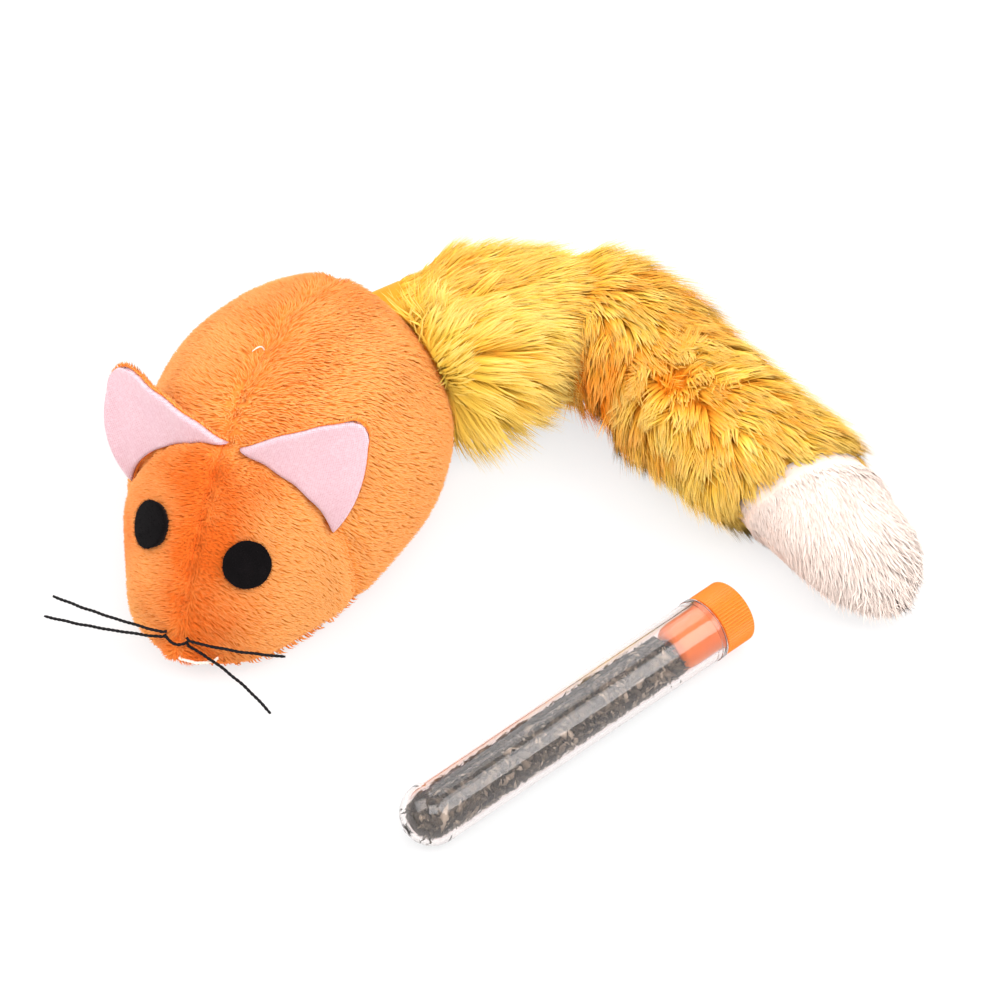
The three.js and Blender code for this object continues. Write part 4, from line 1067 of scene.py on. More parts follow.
# %% Shape an ear's cloth
def ear_sheet(label, offset, tuck, columns=44):
    """A grid over the ear at an offset from its middle sheet. Columns run across by equal
    shares of the width. The sides curl forward with the square of the distance from the
    middle, the top leans back, and the lowest rows follow the head's curve into the seam."""
    corner, along, rise, front, base = ear_frame(label)
    low, high, level = ear_edges(label, base)
    across = np.linspace(0, 1, columns)
    p = low[:, None] + (high - low)[:, None] * across
    q = np.broadcast_to(level[:, None], p.shape)
    span = 2 * across - 1
    height = level[-1]
    foot = corner + along * (base * across)[:, None]
    bulge = (height_at(foot[:, 0], foot[:, 1]) - foot[:, 2]) * rise[2] - tuck
    q = q + bulge * (1 - q / height) ** 3
    edge = np.minimum(1, np.minimum(across, 1 - across) * (high - low)[:, None] / 1.2)
    roll = 0.55 * (1 - np.sqrt(np.clip(1 - (1 - edge) ** 2, 0, 1)))
    cup = 1.5 * (span ** 2) * np.sin(np.pi * np.clip(level / height, 0, 1))[:, None] ** 0.7
    lean = -1.1 * (level / height)[:, None] ** 2
    ripple = 0.18 * np.sin(p * 0.9 + q * 0.35)
    out = cup + lean + ripple + offset - np.sign(offset) * roll
    grid = corner + along * p[..., None] + rise * q[..., None] + front * out[..., None]
    return grid, np.stack([p, q], -1)


# %% Material of the ears' lining
PINK_KNIT, tree = new_material("brushed_cotton_knit_pink")
place = add_node(tree, "UVMap", uv_map="Stitches")
parts = add_node(tree, "SeparateXYZ", {0: place.outputs[0]})
# The map is in millimetres. A real stitch is 0.4 mm wide; 0.55 by 0.42 mm shows at this size.
wale = add_node(tree, "Math", {0: parts.outputs[0], 1: 2 * np.pi / 0.55}, operation="MULTIPLY")
wale = add_node(tree, "Math", {0: wale.outputs[0]}, operation="SINE")
course = add_node(tree, "Math", {0: parts.outputs[1], 1: 2 * np.pi / 0.42}, operation="MULTIPLY")
course = add_node(tree, "Math", {0: course.outputs[0]}, operation="SINE")
stitch = add_node(tree, "Math", {0: wale.outputs[0], 1: course.outputs[0]}, operation="MULTIPLY")
fuzz = add_node(tree, "TexNoise", {"Vector": place.outputs[0], "Scale": 1.3, "Detail": 4.0, "Roughness": 0.8})
fuzz = add_node(tree, "MapRange", {"Value": fuzz.outputs["Fac"], "From Min": 0.35, "From Max": 0.6})
# The stitches' pits, where the bump is lowest, are painted a darker pink as shade.
pit_shade = add_node(tree, "MapRange", {"Value": stitch.outputs[0], "From Min": -1.0, "From Max": 0.3})
cloudy = add_node(tree, "TexNoise", {"Vector": place.outputs[0], "Scale": 0.16, "Detail": 2.0})
blush = add_node(tree, "Mix", {"Factor": cloudy.outputs["Fac"], "A": linear("#E9C9CF"), "B": linear("#E1B9C3")},
                 data_type="RGBA")
dots = add_node(tree, "Math", {0: pit_shade.outputs[0], 1: fuzz.outputs[0]}, operation="MAXIMUM")
knit = add_node(tree, "Mix", {"Factor": dots.outputs[0], "A": linear("#C2707E"), "B": blush.outputs["Result"]},
                data_type="RGBA")
keep = add_node(tree, "Mix", {"Factor": 0.3, "A": knit.outputs["Result"], "B": blush.outputs["Result"]},
                data_type="RGBA")
height = add_node(tree, "Math", {0: stitch.outputs[0], 1: fuzz.outputs[0]}, operation="ADD")
bump = add_node(tree, "Bump", {"Height": height.outputs[0], "Strength": 0.35, "Distance": 0.00012})
cloth = add_node(tree, "BsdfPrincipled", {
    "Base Color": keep.outputs["Result"], "Roughness": 0.9, "Specular IOR Level": 0.2,
    "Sheen Weight": 0.25, "Sheen Roughness": 0.5, "Normal": bump.outputs[0],
})
finish_surface(tree, cloth.outputs[0])


# %% Sew the ears
def sheet_map(grid_map, faces):
    """A map in millimetres for a shell: the outer and the inner grid share each point's place."""
    return np.concatenate([grid_map.reshape(-1, 2)] * 2)[faces].reshape(-1, 2)


ear_rng = np.random.default_rng(24)
for label in ("left", "right"):
    front_sheet, place_map = ear_sheet(label, 1.0, 1.3)
    middle_front, _ = ear_sheet(label, 0.15, 1.3)
    lining = outward(shell(front_sheet, middle_front))
    piece = add_piece(f"ear_{label}_knit", lining, PINK_KNIT, f"ear_{label}", [f"ear_{label}_lining"],
                      maps={"Stitches": sheet_map(place_map, lining["faces"])})
    low, high, level = ear_edges(label, ear_frame(label)[4])
    middle_back, _ = ear_sheet(label, -0.15, 1.5)
    back_sheet, _ = ear_sheet(label, -1.0, 1.5)
    skin = outward(shell(middle_back, back_sheet, along=0.35))
    count = int(4200 * share_of)
    row, column = scatter(back_sheet, count, ear_rng)
    _, along, rise, front, _ = ear_frame(label)
    roots = sample_grid(back_sheet, row, column)
    # Near an edge the nap wraps round it and faces outward, an orange rim behind the knit.
    across = 2 * column / (back_sheet.shape[1] - 1) - 1
    level = row / (back_sheet.shape[0] - 1)
    edge = np.maximum(np.abs(across), level)
    wrap = np.clip(edge / 0.12 - 0.88 / 0.12, 0, 1)[:, None]
    outward_way = unit(along * (across * (1 - level))[:, None] + rise * (0.35 + level)[:, None])
    normal = unit(-front * (1 - 0.9 * wrap) + outward_way * wrap)
    flow = rise + 0.3 * ear_rng.normal(size=(count, 3)) + wrap * (outward_way + 0.6 * front)
    rim = np.clip((edge - 0.7) / 0.3, 0, 1)
    reach = 1.6 * (0.8 + 0.4 * ear_rng.random(count)) * (1 - 0.55 * rim)
    shown = 0.2 * (-front * (1 - rim[:, None]) + (outward_way + front) * rim[:, None])
    fibres = grow(roots, normal, flow, reach, width=0.32, rise=20, fall=68, segments=2,
                  tone=0.5 * ear_rng.random(count) * (1 - wrap[:, 0]), locks=locks_of(row, column * 0.6, 1.6),
                  pull=0.25, facing=shown)
    add_piece(f"ear_{label}_plush", join(skin, fibres), ORANGE_PLUSH, f"ear_{label}", [f"ear_{label}_back"],
              {"OFBake": bake_map(skin, fibres)})

# %% [markdown]
# The eyes are discs stamped from black pressed felt and glued on. Stamping leaves a crisp but
# slightly hairy edge, and felt is a mat of fibres with no weave, so its surface is fine noise
# with short stray hairs. The disc bends to the face, because the glue pulls it down.

# %% Material of the felt
BLACK_FELT, tree = new_material("pressed_wool_felt_black")
place = add_node(tree, "TexCoord")
mat_noise = add_node(tree, "TexNoise", {"Vector": place.outputs["Object"], "Scale": 2600.0, "Detail": 4.0,
                                        "Roughness": 0.75})
tufts = add_node(tree, "TexNoise", {"Vector": place.outputs["Object"], "Scale": 500.0, "Detail": 2.0})
both = add_node(tree, "Math", {0: mat_noise.outputs["Fac"], 1: tufts.outputs["Fac"]}, operation="MULTIPLY")
ramp = add_node(tree, "ValToRGB", {"Fac": both.outputs[0]})
ramp.color_ramp.elements[0].position = 0.12
ramp.color_ramp.elements[0].color = linear("#040203")
ramp.color_ramp.elements[1].position = 0.55
ramp.color_ramp.elements[1].color = linear("#100B0D")
bump = add_node(tree, "Bump", {"Height": both.outputs[0], "Strength": 0.6, "Distance": 0.0002})
felt = add_node(tree, "BsdfPrincipled", {
    "Base Color": ramp.outputs["Color"], "Roughness": 0.95, "Specular IOR Level": 0.1,
    "Sheen Weight": 0.02, "Sheen Roughness": 0.6, "Normal": bump.outputs[0],
})
finish_surface(tree, felt.outputs[0])

# %% Stamp and glue the eyes
EYE_RADIUS = 4.6


def eye_disc(x, y, fibres_rng):
    """A disc turned from a profile of radius and height, then laid on the face: each point goes
    out along the disc's plane, drops to the face's surface, and rises by its height."""
    centre = np.array([x, y, float(height_at(x, y))])
    normal = slope_of(body_distance, centre[None])[0]
    first = unit(np.cross(normal, [0, 1.0, 0]))
    second = np.cross(normal, first)
    bend = np.linspace(0, np.pi / 2, 7)
    radius = np.concatenate([np.linspace(0.4, EYE_RADIUS - 0.4, 12), EYE_RADIUS - 0.35 + 0.35 * np.sin(bend),
                             np.linspace(EYE_RADIUS, 0.4, 12)[1:]])
    height = np.concatenate([np.full(12, 1.2), 0.85 + 0.35 * np.cos(bend), np.linspace(-0.5, -0.6, 11)])
    turn = np.linspace(0, 2 * np.pi, 97)[:-1]
    wobble = 1 + 0.008 * np.sin(3 * turn + x) + 0.006 * np.sin(7 * turn)
    flat = radius[:, None] * wobble
    rings = centre + first * (flat * np.cos(turn))[..., None] + second * (flat * np.sin(turn))[..., None]
    for _ in range(4):
        rings = rings - normal * body_distance(rings)[..., None]
    rings = rings + normal * height[:, None, None]
    disc = outward(tube_form(rings))
    count = 420
    angle = fibres_rng.random(count) * 2 * np.pi
    on_edge = fibres_rng.random(count) < 0.6
    row = np.where(on_edge, 13.0 + 4 * fibres_rng.random(count), 11 * np.sqrt(fibres_rng.random(count)))
    closed = np.concatenate([rings, rings[:, :1]], 1)
    roots = sample_grid(closed, row, angle / (2 * np.pi) * len(turn))
    away = roots - centre
    away = unit(away - normal * (away @ normal)[:, None])
    up = unit(np.where(on_edge[:, None], away + 0.5 * normal, normal))
    hair = grow(roots, up, fibres_rng.normal(size=(count, 3)), 0.35 + 0.35 * fibres_rng.random(count), width=0.07,
                rise=20, fall=85, segments=2, tone=fibres_rng.random(count))
    hair["normals"][:] = 0
    return join(disc, hair)


eye_rng = np.random.default_rng(9)
for label, x, y in (("left", 10.4, NOSE_Y + 11.2), ("right", -9.7, NOSE_Y + 12.8)):
    add_piece(f"eye_{label}_felt", eye_disc(x, y, eye_rng), BLACK_FELT, "body", [f"eye_{label}"])

# %% [markdown]
# The whiskers are waxed polyester thread: two plies twisted together, stiff enough to stand
# out, black with a dull shine on the turns. Carrying a figure-of-eight section along a curve
# and turning it as it goes gives both plies at once.

# %% Twist a thread
def twisted_thread(path, diameter, lay, steps, taper=0.0, sides=16, waves=0.0):
    """A tube about a path of points. The section's radius is r * (0.70 + 0.30 |cos(a - twist)|),
    two lobes like two plies, and the twist makes one turn for each lay of length. The thread
    thins by taper over its last millimetre, and wanders sideways by waves."""
    walk = np.concatenate([[0], np.cumsum(np.linalg.norm(np.diff(path, axis=0), axis=1))])
    s = np.linspace(0, walk[-1], steps)
    line = np.stack([np.interp(s, walk, path[:, k]) for k in range(3)], -1)
    ahead = unit(np.gradient(line, axis=0))
    side = unit(np.cross(ahead, [0.02, 0.01, 1.0]))
    up = np.cross(side, ahead)
    line = line + waves * (side * np.sin(s * 1.3)[:, None] + up * np.sin(s * 0.9 + 1)[:, None])
    twist = 2 * np.pi * s / lay
    angle = np.linspace(0, 2 * np.pi, sides + 1)[:-1]
    lobes = 0.70 + 0.30 * np.abs(np.cos(angle[None] - twist[:, None]))
    ends = np.clip(walk[-1] - s, 0, 1)
    radius = diameter / 2 * lobes * (1 - taper * (1 - ends))[:, None]
    rings = (line[:, None] + side[:, None] * (radius * np.cos(angle))[..., None]
             + up[:, None] * (radius * np.sin(angle))[..., None])
    return outward(tube_form(rings, along=0.5))


def quadratic(start, control, end, count=80):
    """Points of a quadratic curve."""
    u = np.linspace(0, 1, count)[:, None]
    return (1 - u) ** 2 * start + 2 * u * (1 - u) * control + u ** 2 * end


def face_point(x, z, stand):
    """The point of the snout at x and z, found by halving between the nose and the cheeks,
    then moved forward by a stand-off."""
    near, far = NOSE_Y, NOSE_Y + 0.45 * BODY_LENGTH
    for _ in range(30):
        middle = (near + far) / 2
        ratio = float(body_field(np.array([x, middle, z]))[0])
        near, far = (middle, far) if ratio > 1 else (near, middle)
    return np.array([x, far - stand, z])


# %% Materials of the threads
def thread_material(name, base, glint, roughness):
    """Twisted thread: fine streaks of two close tones, and a bump of fibres along it."""
    material, tree = new_material(name)
    place = add_node(tree, "TexCoord")
    fibre = add_node(tree, "TexNoise", {"Vector": place.outputs["Object"], "Scale": 2200.0, "Detail": 3.0})
    tones = add_node(tree, "ValToRGB", {"Fac": fibre.outputs["Fac"]})
    tones.color_ramp.elements[0].position, tones.color_ramp.elements[1].position = 0.35, 0.7
    tones.color_ramp.elements[0].color, tones.color_ramp.elements[1].color = linear(base), linear(glint)
    bump = add_node(tree, "Bump", {"Height": fibre.outputs["Fac"], "Strength": 0.4, "Distance": 0.0001})
    thread = add_node(tree, "BsdfPrincipled", {"Base Color": tones.outputs["Color"], "Roughness": roughness,
                                               "Specular IOR Level": 0.2, "Normal": bump.outputs[0]})
    finish_surface(tree, thread.outputs[0])
    return material


BLACK_THREAD = thread_material("waxed_polyester_thread_black", "#060506", "#141013", 0.7)
PALE_THREAD = thread_material("cotton_sewing_thread_pale", "#F2D8C4", "#FFF3E8", 0.7)

# %% Fit the whiskers and the stitches
THREAD, LAY, REACH, ROOT_X, ROOT_Z = 0.62, 1.9, 24.0, 2.8, 11.6
# Each whisker's side, and how far it goes out, forward and up and how much it bows, in reaches.
WHISKERS = {
    "whisker_right_upper": (-1, 0.996, -0.0792, -0.0833, 0.058),
    "whisker_right_lower": (-1, 1.01, 0.05, -0.133, 0.067),
    "whisker_left_upper": (1, 0.75, -0.15, -0.025, 0.083),
    "whisker_left_lower": (1, 0.725, 0.108, -0.383, -0.12),
}
for name, (side, out, forward, rise, bow) in WHISKERS.items():
    root_z = ROOT_Z + (0.5 if name.endswith("upper") else -0.5)
    root = face_point(side * ROOT_X, root_z, 0.65)
    end = root + REACH * np.array([side * out, -forward, rise])
    control = (root + end) / 2 + REACH * bow * np.array([0, -1, 0.5])
    path = quadratic(root, control, end)
    path = np.concatenate([[root + np.array([-side * 0.75, 0.5, 0.0])], path])
    thread = twisted_thread(path, THREAD, LAY, 190, taper=0.2, waves=0.04)
    add_piece(f"{name}_thread", thread, BLACK_THREAD, name, [name])

stitch_x = ROOT_X - 0.4
stitch = quadratic(face_point(-stitch_x, ROOT_Z, 0.25), face_point(0, ROOT_Z - 2.2, 0.9),
                   face_point(stitch_x, ROOT_Z, 0.25))
add_piece("nose_stitch_thread", twisted_thread(stitch, THREAD, LAY, 60), BLACK_THREAD, "body", ["nose_stitch"])

chin = np.stack([face_point(0.6 + 7.2 * s, 7.2 + 0.3 * s, 0.7) for s in np.linspace(0, 1, 40)])
chin[[0, 1, -2, -1], 1] += 0.8
add_piece("chin_stitch_thread", twisted_thread(chin, 0.6, 1.5, 90, waves=0.08), PALE_THREAD, "body", ["chin_stitch"])

foot_y = NOSE_Y + 44.7
foot = np.array([0, foot_y, float(height_at(0, foot_y))])
loose_end = quadratic(foot - [0, 0, 0.6], foot + [-0.2, -0.2, 1.2], foot + [-1.3, -2.4, 0.9], 30)
add_piece("seam_thread_loose_end", twisted_thread(loose_end, 0.3, 1.2, 60, taper=0.5, waves=0.06), PALE_THREAD,
          "body", ["seam_thread_end"])

# %% [markdown]
# The tube is injection-moulded clear polystyrene. It is brilliant and hard, with a round end,
# a small gate mark at its pole, a faint ring where the mould halves met, and a thicker rim at
# its mouth. It is one closed profile turned about its axis: outside, rim, and bore.

# %% Lay the tube's axis
TUBE_POLE = np.array([55.5, -63.2, 6.0])
heading, nose_down = np.radians(61.7), np.arctan2(0.5, 67.0)
TUBE_AXIS = np.array([np.cos(heading) * np.cos(nose_down), np.sin(heading) * np.cos(nose_down), np.sin(nose_down)])
TUBE_SIDE = np.array([np.sin(heading), -np.cos(heading), 0.0])
TUBE_UP = np.cross(TUBE_SIDE, TUBE_AXIS)


def turned(profile, sides, section=None):
    """A profile of (radius, distance along) turned about the tube's axis and closed at both ends
    on it. The section gives the radius a factor for each angle."""
    profile = np.asarray(profile, float)
    angle = np.linspace(0, 2 * np.pi, sides + 1)[:-1]
    factor = np.ones((len(profile), sides)) if section is None else section(angle, profile)
    radius = profile[:, :1] * factor
    rings = (TUBE_POLE + TUBE_AXIS * profile[:, 1, None, None] + TUBE_SIDE * (radius * np.cos(angle))[..., None]
             + TUBE_UP * (radius * np.sin(angle))[..., None])
    return outward(tube_form(rings))


def rounded(corners, radius, steps=5):
    """A polyline of (radius, along) with its inner corners rounded by short quadratic curves."""
    corners = np.asarray(corners, float)
    out = [corners[:1]]
    for a, b, c in zip(corners, corners[1:], corners[2:]):
        before, after = np.linalg.norm(a - b), np.linalg.norm(c - b)
        r = min(radius, before / 2.2, after / 2.2)
        start, end = b + (a - b) / before * r, b + (c - b) / after * r
        out.append(quadratic(start, b, end, steps))
    out.append(corners[-1:])
    return np.concatenate(out)


# %% Mould the tube
END_RADIUS, MOUTH_RADIUS, TUBE_LENGTH = 6.0, 6.5, 73.0
WALL, RIM_STEP, RIM_HEIGHT = 1.0, 0.35, 1.4
BORE_RADIUS, BORE_END = MOUTH_RADIUS - RIM_STEP - WALL, END_RADIUS - WALL
dome = np.linspace(np.arcsin(1.15 / END_RADIUS), np.pi / 2, 30)
outside = np.stack([END_RADIUS * np.sin(dome), END_RADIUS * (1 - np.cos(dome))], -1)
ring = [(END_RADIUS + 0.01, 6.2), (END_RADIUS + 0.09, 6.5), (END_RADIUS + 0.09, 6.7), (END_RADIUS + 0.03, 7.0)]
nub = rounded([(0.02, -0.28), (0.6, -0.28), (0.95, -0.1), (1.15, 0.12)], 0.3)
rim = rounded([(MOUTH_RADIUS - 0.16, TUBE_LENGTH - RIM_HEIGHT - 1.0),
               (MOUTH_RADIUS - 0.15, TUBE_LENGTH - RIM_HEIGHT), (MOUTH_RADIUS, TUBE_LENGTH - RIM_HEIGHT),
               (MOUTH_RADIUS, TUBE_LENGTH), (BORE_RADIUS, TUBE_LENGTH), (BORE_RADIUS - 0.02, TUBE_LENGTH - 2)], 0.22)
bore_angle = np.linspace(np.pi / 2, 0.01, 30)
bore = np.stack([BORE_END * np.sin(bore_angle), WALL + BORE_END * (1 - np.cos(bore_angle))], -1)
profile = np.concatenate([nub, outside, ring, rim, bore])
tube = turned(profile, 128)

CLEAR_PLASTIC, tree = new_material("moulded_clear_polystyrene")
# Handling leaves a few hairline scuffs: noise stretched along the tube roughens it in streaks.
place = add_node(tree, "TexCoord")
along_tube = add_node(tree, "Mapping", {"Vector": place.outputs["Object"], "Rotation": (0, 0, -heading),
                                        "Scale": (25.0, 700.0, 700.0)})
scuffs = add_node(tree, "TexNoise", {"Vector": along_tube.outputs[0], "Scale": 1.0, "Detail": 3.0})
streaks = add_node(tree, "MapRange", {"Value": scuffs.outputs["Fac"], "From Min": 0.55, "From Max": 0.85,
                                      "To Min": 0.02, "To Max": 0.14})
ripple = add_node(tree, "TexNoise", {"Vector": place.outputs["Object"], "Scale": 110.0, "Detail": 1.0})
bump = add_node(tree, "Bump", {"Height": ripple.outputs["Fac"], "Strength": 0.12, "Distance": 0.0004})
clear = add_node(tree, "BsdfPrincipled", {
    "Base Color": linear("#FDF5F3"), "Roughness": streaks.outputs[0], "IOR": 1.45,
    "Transmission Weight": 0.985, "Normal": bump.outputs[0],
})
finish_surface(tree, clear.outputs[0])
add_piece("tube_clear", tube, CLEAR_PLASTIC, "tube", ["tube"])

# %% [markdown]
# The stopper is soft orange polyethylene, with a ribbed head to grip and a plug that fits
# the bore. Its ribs are straight, with rounded crests, and the plug is a little thinner than
# the bore, hollow, and rounded at the end that leads it in.

# %% Mould the stopper
HEAD_LENGTH, HEAD_RADIUS, PLUG_LENGTH, PLUG_RADIUS = 6.9, 6.35, 9.4, BORE_RADIUS - 0.3
HEAD_START = TUBE_LENGTH + 0.3
RIBS = 60


def ribbed(angle, profile):
    """1 on the crests and a rib's depth less in the grooves, on the head's side only."""
    crest = 0.5 + 0.5 * np.cos(RIBS * angle)
    depth = 0.30 / HEAD_RADIUS * (1 - crest ** 0.7)
    on_side = (profile[:, 0] > HEAD_RADIUS - 0.45) & (profile[:, 1] > HEAD_START + 0.05)
    return 1 - depth[None] * on_side[:, None]


plug_start = TUBE_LENGTH - PLUG_LENGTH
plug = rounded([
    (0.02, plug_start + 5.0), (PLUG_RADIUS * 0.5, plug_start + 5.0), (PLUG_RADIUS * 0.5, plug_start + 0.1),
    (PLUG_RADIUS * 0.72, plug_start), (PLUG_RADIUS - 0.25, plug_start + 0.9), (PLUG_RADIUS, plug_start + 3.0),
    (PLUG_RADIUS, HEAD_START - 0.2),
], 1.3, 8)
head = rounded([
    (PLUG_RADIUS, HEAD_START), (HEAD_RADIUS, HEAD_START), (HEAD_RADIUS, HEAD_START + 0.5),
    (HEAD_RADIUS, HEAD_START + HEAD_LENGTH - 0.5), (HEAD_RADIUS - 0.5, HEAD_START + HEAD_LENGTH),
    (HEAD_RADIUS - 1.2, HEAD_START + HEAD_LENGTH - 0.05), (HEAD_RADIUS - 1.5, HEAD_START + HEAD_LENGTH - 0.25),
    (0.02, HEAD_START + HEAD_LENGTH - 0.3),
], 0.3)
stopper = turned(np.concatenate([plug, head]), 360, ribbed)

ORANGE_PLASTIC, tree = new_material("moulded_polyethylene_orange")
place = add_node(tree, "TexCoord")
satin = add_node(tree, "TexNoise", {"Vector": place.outputs["Object"], "Scale": 1800.0, "Detail": 2.0})
flow_marks = add_node(tree, "TexNoise", {"Vector": place.outputs["Object"], "Scale": 140.0, "Detail": 2.0})
two_tone_surface(tree, flow_marks.outputs["Fac"], ("#F67206", "#FC8616"), satin.outputs["Fac"], 0.15, 0.00005, {
    "Roughness": 0.42, "IOR": 1.5, "Specular IOR Level": 0.4, "Subsurface Weight": 0.15,
    "Subsurface Radius": (1.0, 0.4, 0.15), "Subsurface Scale": 0.001,
})
add_piece("stopper_ribbed", stopper, ORANGE_PLASTIC, "stopper", ["stopper"])

# %% [markdown]
# Dried catnip is crushed leaf and stem: curled flakes of 0.5 to 2 mm in grey green and brown,
# with pale bits of stem. It lies along the bottom of the tube and leaves a gap under the upper
# wall. A lumpy core keeps the light out, and loose flakes lie on it and against the glass-clear
# wall, each an eight-sided flake, bent and turned at random.

# %% Fill the tube with leaf
leaf_rng = np.random.default_rng(7)
FILL_DROP = 3.0


def tube_place(across, along, up):
    """A point given across, along and up from the tube's axis."""
    return (TUBE_POLE + TUBE_SIDE * np.asarray(across)[..., None] + TUBE_AXIS * np.asarray(along)[..., None]
            + TUBE_UP * np.asarray(up)[..., None])


def bore_at(along):
    """The bore's radius at a distance along: a dome, then a slight widening to the mouth."""
    inside = np.clip(BORE_END ** 2 - np.clip(WALL + BORE_END - along, 0, BORE_END) ** 2, 0.01, None)
    widen = (BORE_RADIUS - BORE_END) * np.clip((along - WALL - BORE_END) / (TUBE_LENGTH - WALL - BORE_END), 0, 1)
    return np.sqrt(inside) + widen


top_level = BORE_END - FILL_DROP
fill_start, fill_end = WALL + 0.4, TUBE_LENGTH - PLUG_LENGTH - 0.4
along = np.linspace(fill_start + 0.2, fill_end, 110)
angle = np.linspace(0, 2 * np.pi, 49)[:-1]
lumps = 0.22 * np.sin(along[:, None] * 1.9 + 3 * angle) * np.cos(2.3 * angle + along[:, None])
radius = np.maximum(bore_at(along)[:, None] - 0.75 + lumps, 0.3)
across, up = radius * np.cos(angle), radius * np.sin(angle)
level = top_level - 0.4 + 0.5 * np.sin(along * 0.5)[:, None] * np.cos(along * 0.21)[:, None]
up = np.minimum(up, level + 0.15 * np.sin(across * 2.1 + along[:, None] * 1.7))
core = outward(tube_form(tube_place(across, np.broadcast_to(along[:, None], across.shape), up), along=0.0, tone=0.2))


def flakes(count):
    """Irregular flat octahedra: six corners on three short axes, all turned and scaled at
    random and bent by lifting their ends."""
    along = fill_start + 0.8 + (fill_end - fill_start - 1.0) * leaf_rng.random(count)
    angle = leaf_rng.random(count) * 2 * np.pi
    bore = bore_at(along)
    size = 0.35 + 1.15 * leaf_rng.random(count) ** 2.4
    top = leaf_rng.random(count) < 0.3
    reach = bore - 0.25 - 0.6 * leaf_rng.random(count)
    across, up = reach * np.cos(angle), reach * np.sin(angle)
    spread = np.sqrt(np.clip((bore - 0.5) ** 2 - top_level ** 2, 0.05, None)) * (2 * leaf_rng.random(count) - 1)
    heap = top_level + 0.5 * np.sin(along * 0.5) * np.cos(along * 0.21)
    over = top | (up > heap)
    across = np.where(over, spread, across)
    up = np.where(over, heap + 0.35 * leaf_rng.normal(size=count) - 0.2, up)
    shrink = np.minimum(1, (bore - 0.12 - size * 0.35) / np.maximum(np.hypot(across, up), 1e-6))
    across, up = across * shrink, up * shrink
    centre = tube_place(across, along, up)
    frames = np.linalg.qr(leaf_rng.normal(size=(count, 3, 3)))[0]
    frames[:, 2] = unit(frames[:, 2] * 0.4 + unit(TUBE_SIDE * across[:, None] + TUBE_UP * up[:, None]))
    frames[:, 0] = unit(frames[:, 0] - frames[:, 2] * np.sum(frames[:, 0] * frames[:, 2], 1, keepdims=True))
    frames[:, 1] = np.cross(frames[:, 2], frames[:, 0])
    corners = np.array([(1, 0, 0), (0, 1, 0), (-1, 0, 0), (0, -1, 0), (0, 0, 1), (0, 0, -1)], float)
    scale = size[:, None] * np.stack([1 + 0.9 * leaf_rng.random(count), 0.35 + 0.5 * leaf_rng.random(count),
                                      np.full(count, 0.09)], -1)
    local = corners[None] * scale[:, None] * (0.75 + 0.5 * leaf_rng.random((count, 6, 1)))
    local[:, (0, 2), 2] -= 0.25 * size[:, None] * leaf_rng.random((count, 2))
    points = centre[:, None] + np.einsum("nij,njk->nik", local, frames)
    quads = np.array([(0, 1, 4), (1, 2, 4), (2, 3, 4), (3, 0, 4), (1, 0, 5), (2, 1, 5), (3, 2, 5), (0, 3, 5)])
    faces = quads[None] + 6 * np.arange(count)[:, None, None]
    return form(points.reshape(-1, 3), faces.reshape(-1, 3), np.repeat(leaf_rng.random(count), 6),
                np.repeat(leaf_rng.random(count), 6))


DRIED_LEAF, tree = new_material("dried_catnip_leaf")
kind = add_node(tree, "Attribute", attribute_name="tone")
tones = add_node(tree, "ValToRGB", {"Fac": kind.outputs["Fac"]})
tones.color_ramp.elements[0].color = linear("#1E1A16")
tones.color_ramp.elements[1].color = linear("#D0C4B4")
for position, colour in ((0.25, "#3F3931"), (0.5, "#645C50"), (0.8, "#867B6C")):
    tones.color_ramp.elements.new(position).color = linear(colour)
place = add_node(tree, "TexCoord")
veins = add_node(tree, "TexNoise", {"Vector": place.outputs["Object"], "Scale": 1500.0, "Detail": 3.0})
shade = add_node(tree, "Mix", {"Factor": veins.outputs["Fac"], "A": tones.outputs["Color"], "B": linear("#E3DED4")},
                 data_type="RGBA", blend_type="MULTIPLY")
bump = add_node(tree, "Bump", {"Height": veins.outputs["Fac"], "Strength": 0.5, "Distance": 0.0002})
leaf = add_node(tree, "BsdfPrincipled", {"Base Color": shade.outputs["Result"], "Roughness": 0.85,
                                         "Specular IOR Level": 0.2, "Normal": bump.outputs[0]})
finish_surface(tree, leaf.outputs[0])
add_piece("catnip_leaf", join(core, flakes(4200)), DRIED_LEAF, "tube", ["catnip_fill"])

# %% [markdown]
# Underneath, a fifth plush panel closes the body. It lies flat on the floor, and a slot in it
# opens to the catnip pouch. The panel is a ring: for each direction from the slot's middle, a
# line runs from the slot's edge out to the seam, and the body's lower curve gives its height.

# %% Sew the belly
SLOT_MIDDLE = np.array([0.0, BODY_LENGTH * 0.717 + NOSE_Y])
SLOT_HALF = np.array([8.5, 14.0])


def belly_height(x, y, inset):
    """The level of the body's lower surface, drawn in by an inset and never under the floor."""
    left, right, _, bottom, widest = section_at(y)
    half = np.where(x > 0, left, right) - inset
    across = np.clip(np.abs(x) / half, 0, 1) ** LOWER_POWER
    drop = (widest - bottom - inset) * (1 - across) ** (1 / LOWER_POWER)
    return np.maximum(widest - drop, inset)


